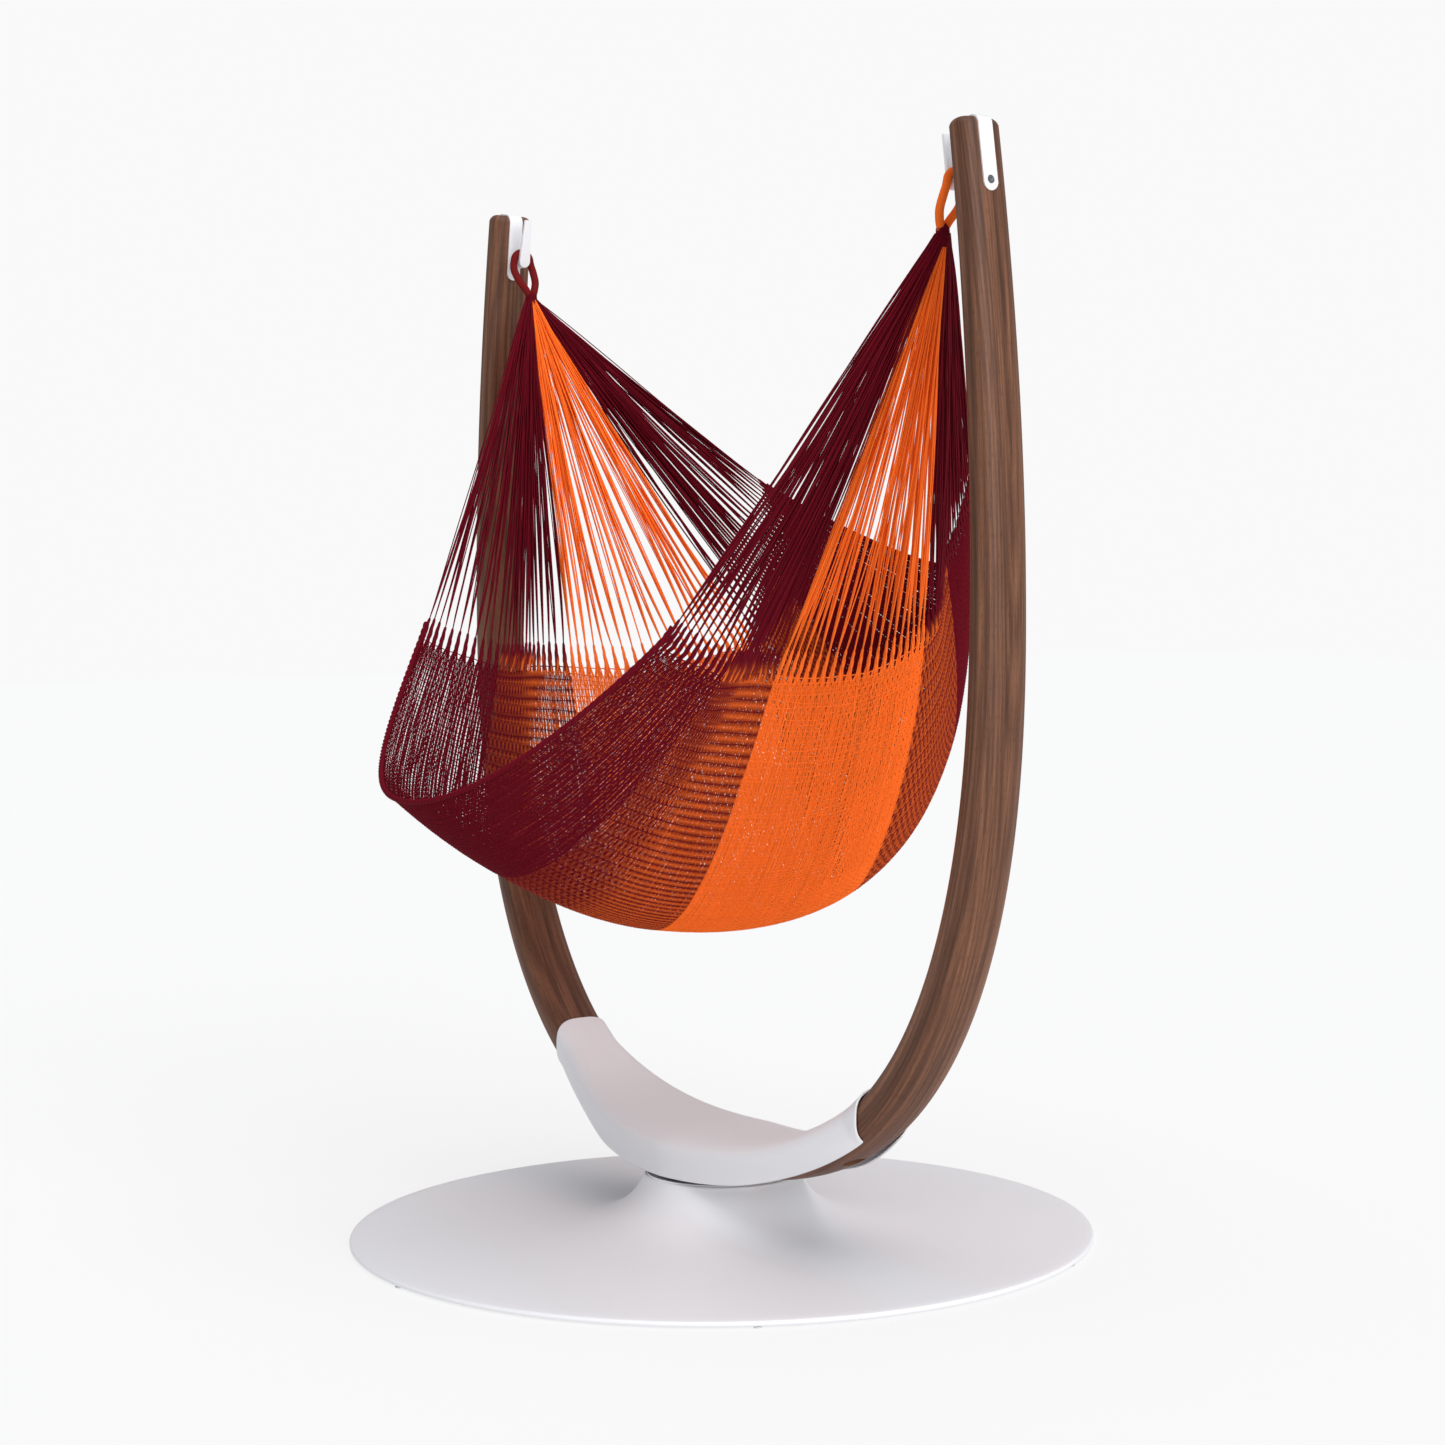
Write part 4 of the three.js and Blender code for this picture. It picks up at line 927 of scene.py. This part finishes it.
def strands(side):
    """Bare strands from each tuft to the throat, in loosely twisted bundles that lean together."""
    bundle = np.repeat(np.arange(TUFTS), THREADS_PER_BUNDLE)
    count = len(bundle)
    s = np.linspace(0, 1, 26)[None]
    lean = 0.42 * tuft_width_v * rng.normal(size=TUFTS)
    apart = rng.normal(size=(count, 1)) * 0.12 * tuft_width_v[bundle][:, None]
    v = tuft_middle_v[bundle][:, None]
    start = 1 + 0.93 * TUFT_RISE / pace(v, 1.03)
    t = side * (start + (2 - start) * s)
    belly = np.sin(np.pi * s) ** 0.8
    v_all = np.clip(v + (lean[bundle][:, None] + apart) * belly, 0, 1)
    _, across, square = frame_at(v_all, np.clip(t, -1.985, 1.985))
    centre = net_point(v_all, t)
    spread = np.sin(np.pi * np.clip(s * 1.15, 0, 1)) ** 0.6
    phase = rng.uniform(0, 2 * np.pi, (count, 1)) + s * rng.uniform(2, 7, (count, 1))
    wide = rng.uniform(0.0010, 0.0032, (count, 1)) * spread
    room = np.clip((2 - np.abs(t)) / 0.35, 0.25, 1)
    off = (across * (wide * room * np.cos(phase))[..., None]
           + square * (0.5 * wide * np.sin(phase))[..., None])
    order = (v - 0.5) * 2
    neck = smoothstep(s, 0.35, 1.0)[..., None]
    seat = np.stack([rng.uniform(-0.011, 0.011, (count, 1)) * np.sqrt(1 - 0.8 * order ** 2),
                     0.013 * order, rng.uniform(-0.004, 0.012, (count, 1))], -1)
    slack = 0.006 * rng.normal(size=(count, 1)) * np.sin(np.pi * s)
    paths = centre + off + neck * seat + square * slack[..., None]
    band = tuft_band[bundle]
    orange = (band == 2)[:, None] * np.ones_like(t)
    dye = 0.97 + rng.normal(0, 0.06, (count, 1)) + 0 * t
    thick = rng.normal(1, 0.12, (count, 1)) * np.where(band == 2, 1.12, 0.92)[:, None] + 0 * t
    groups = (("front", band < 2), ("middle", band == 2), ("back", band > 2))
    return {label: (paths[pick], orange[pick], dye[pick], thick[pick]) for label, pick in groups}


for side, name in ((-1, "left"), (1, "right")):
    for label, batch in strands(side).items():
        piece = lay_yarn(f"{name}_{label}_strand_bundles", [batch], THREAD_RADIUS, 4, yarn,
                         "hammock")
        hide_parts(f"{name}_{label}_strands")
    piece = lay_yarn(f"{name}_tufts", tufts(side), TUFT_STRAND_RADIUS, 7, yarn, "hammock")

for v, name in ((0.0, "front_selvedge"), (1.0, "back_selvedge")):
    t = np.linspace(-1.03, 1.03, 300)
    centre, across, square = frame_at(np.full_like(t, v), t)
    batches = []
    for strand in range(3):
        phase = np.linspace(0, 2 * np.pi * CORD_TURNS, len(t)) + strand * 2 * np.pi / 3
        off = CORD_STRAND_RADIUS * (across * np.cos(phase)[:, None]
                                    + square * np.sin(phase)[:, None])
        batches.append(((centre + off)[None], 0.0, 0.95, 1.0))
    piece = lay_yarn(f"{name}_cord", batches, CORD_STRAND_RADIUS, 8, yarn, "hammock")
    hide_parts(name)

# ---- end loops -----------------------------------------------------------------------------------

ROPE_RADIUS, HANG_X, BAR_Z, BAR_RADIUS, LOOP_START = 0.0075, 0.716, 1.928, 0.012, 1.8505
BAR_CLEARANCE, WRAP_PITCH, BINDING_RADIUS, NECK_OVERRUN = 0.0003, 0.0026, 0.0125, 0.012
PATH_POINTS, NECK_POINTS = 460, 90
LOOP_LEG = [(0, 4.5), (0.07, 4.8), (0.22, 10.5), (0.45, 19.0), (0.72, 22.5), (0.9, 21.2)]


def through(points, steps):
    """Smooth curve through points, evenly stepped along its length."""
    points = np.asarray(points, float)
    padded = np.concatenate([[2 * points[0] - points[1]], points, [2 * points[-1] - points[-2]]])
    fine = []
    for a, b, c, d in zip(padded, padded[1:], padded[2:], padded[3:]):
        for t in np.linspace(0, 1, 40, endpoint=False):
            fine.append(b + 0.5 * t * (c - a + t * (2 * a - 5 * b + 4 * c - d
                                                    + t * (3 * (b - c) + d - a))))
    fine = np.array(fine + [points[-1]])
    run = np.concatenate([[0], np.cumsum(np.linalg.norm(np.diff(fine, axis=0), axis=1))])
    even = np.linspace(0, run[-1], steps)
    return np.stack([np.interp(even, run, fine[:, i]) for i in range(3)], -1), run[-1]


def end_loop(side, name, orange):
    """The yarn-wrapped loop over a hook, and the binding where it meets the net's throat."""
    reach = BAR_RADIUS + BAR_CLEARANCE + ROPE_RADIUS
    leg = []
    for share, y in LOOP_LEG:
        forward = share * share * (3 - 2 * share)
        leg.append((APEX_X + (HANG_X - APEX_X) * forward, y / 1000,
                    LOOP_START + (BAR_Z - LOOP_START) * share))
    over = [(HANG_X, reach * math.cos(a), BAR_Z + reach * math.sin(a))
            for a in np.radians([0, 30, 60])]
    half = leg + over
    line = half + [(HANG_X, 0, BAR_Z + reach)] + [(x, -y, z) for x, y, z in half[::-1]]
    path, length = through(line, PATH_POINTS)
    path[:, 0] *= side
    wrap = 1 + 0.045 * np.cos(2 * np.pi * np.linspace(0, length / WRAP_PITCH, PATH_POINTS))
    rope = lay_yarn(f"{name}_end_loop_rope", [(path[None], orange, 0.93, wrap[None])],
                    ROPE_RADIUS, 20, yarn, "hammock")
    bottom, top = APEX_Z - NECK_OVERRUN, LOOP_START + NECK_OVERRUN
    neck_z = np.linspace(bottom, top, NECK_POINTS)
    neck = np.stack([np.full(NECK_POINTS, side * APEX_X), np.zeros(NECK_POINTS), neck_z], -1)
    swell = np.interp(neck_z, [bottom, APEX_Z, LOOP_START + 0.004, top], [0.75, 1.0, 0.95, 0.6])
    ridges = 1 + 0.05 * np.cos(2 * np.pi * (neck_z - neck_z[0]) / WRAP_PITCH)
    binding = lay_yarn(f"{name}_throat_binding", [(neck[None], 0.0, 0.9, (swell * ridges)[None])],
                       BINDING_RADIUS, 24, yarn, "hammock")
    for piece, node in ((rope, f"{name}_end_loop"), (binding, f"{name}_loop_binding")):
        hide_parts(node)


end_loop(-1, "left", 0.04)
end_loop(1, "right", 0.92)

# ---- floor ---------------------------------------------------------------------------------------

floor = mesh_object("studio_floor", [(-30, -30, 0), (30, -30, 0), (30, 30, 0), (-30, 30, 0)],
                    [(0, 1, 2, 3)], floor_paint, smooth=None)
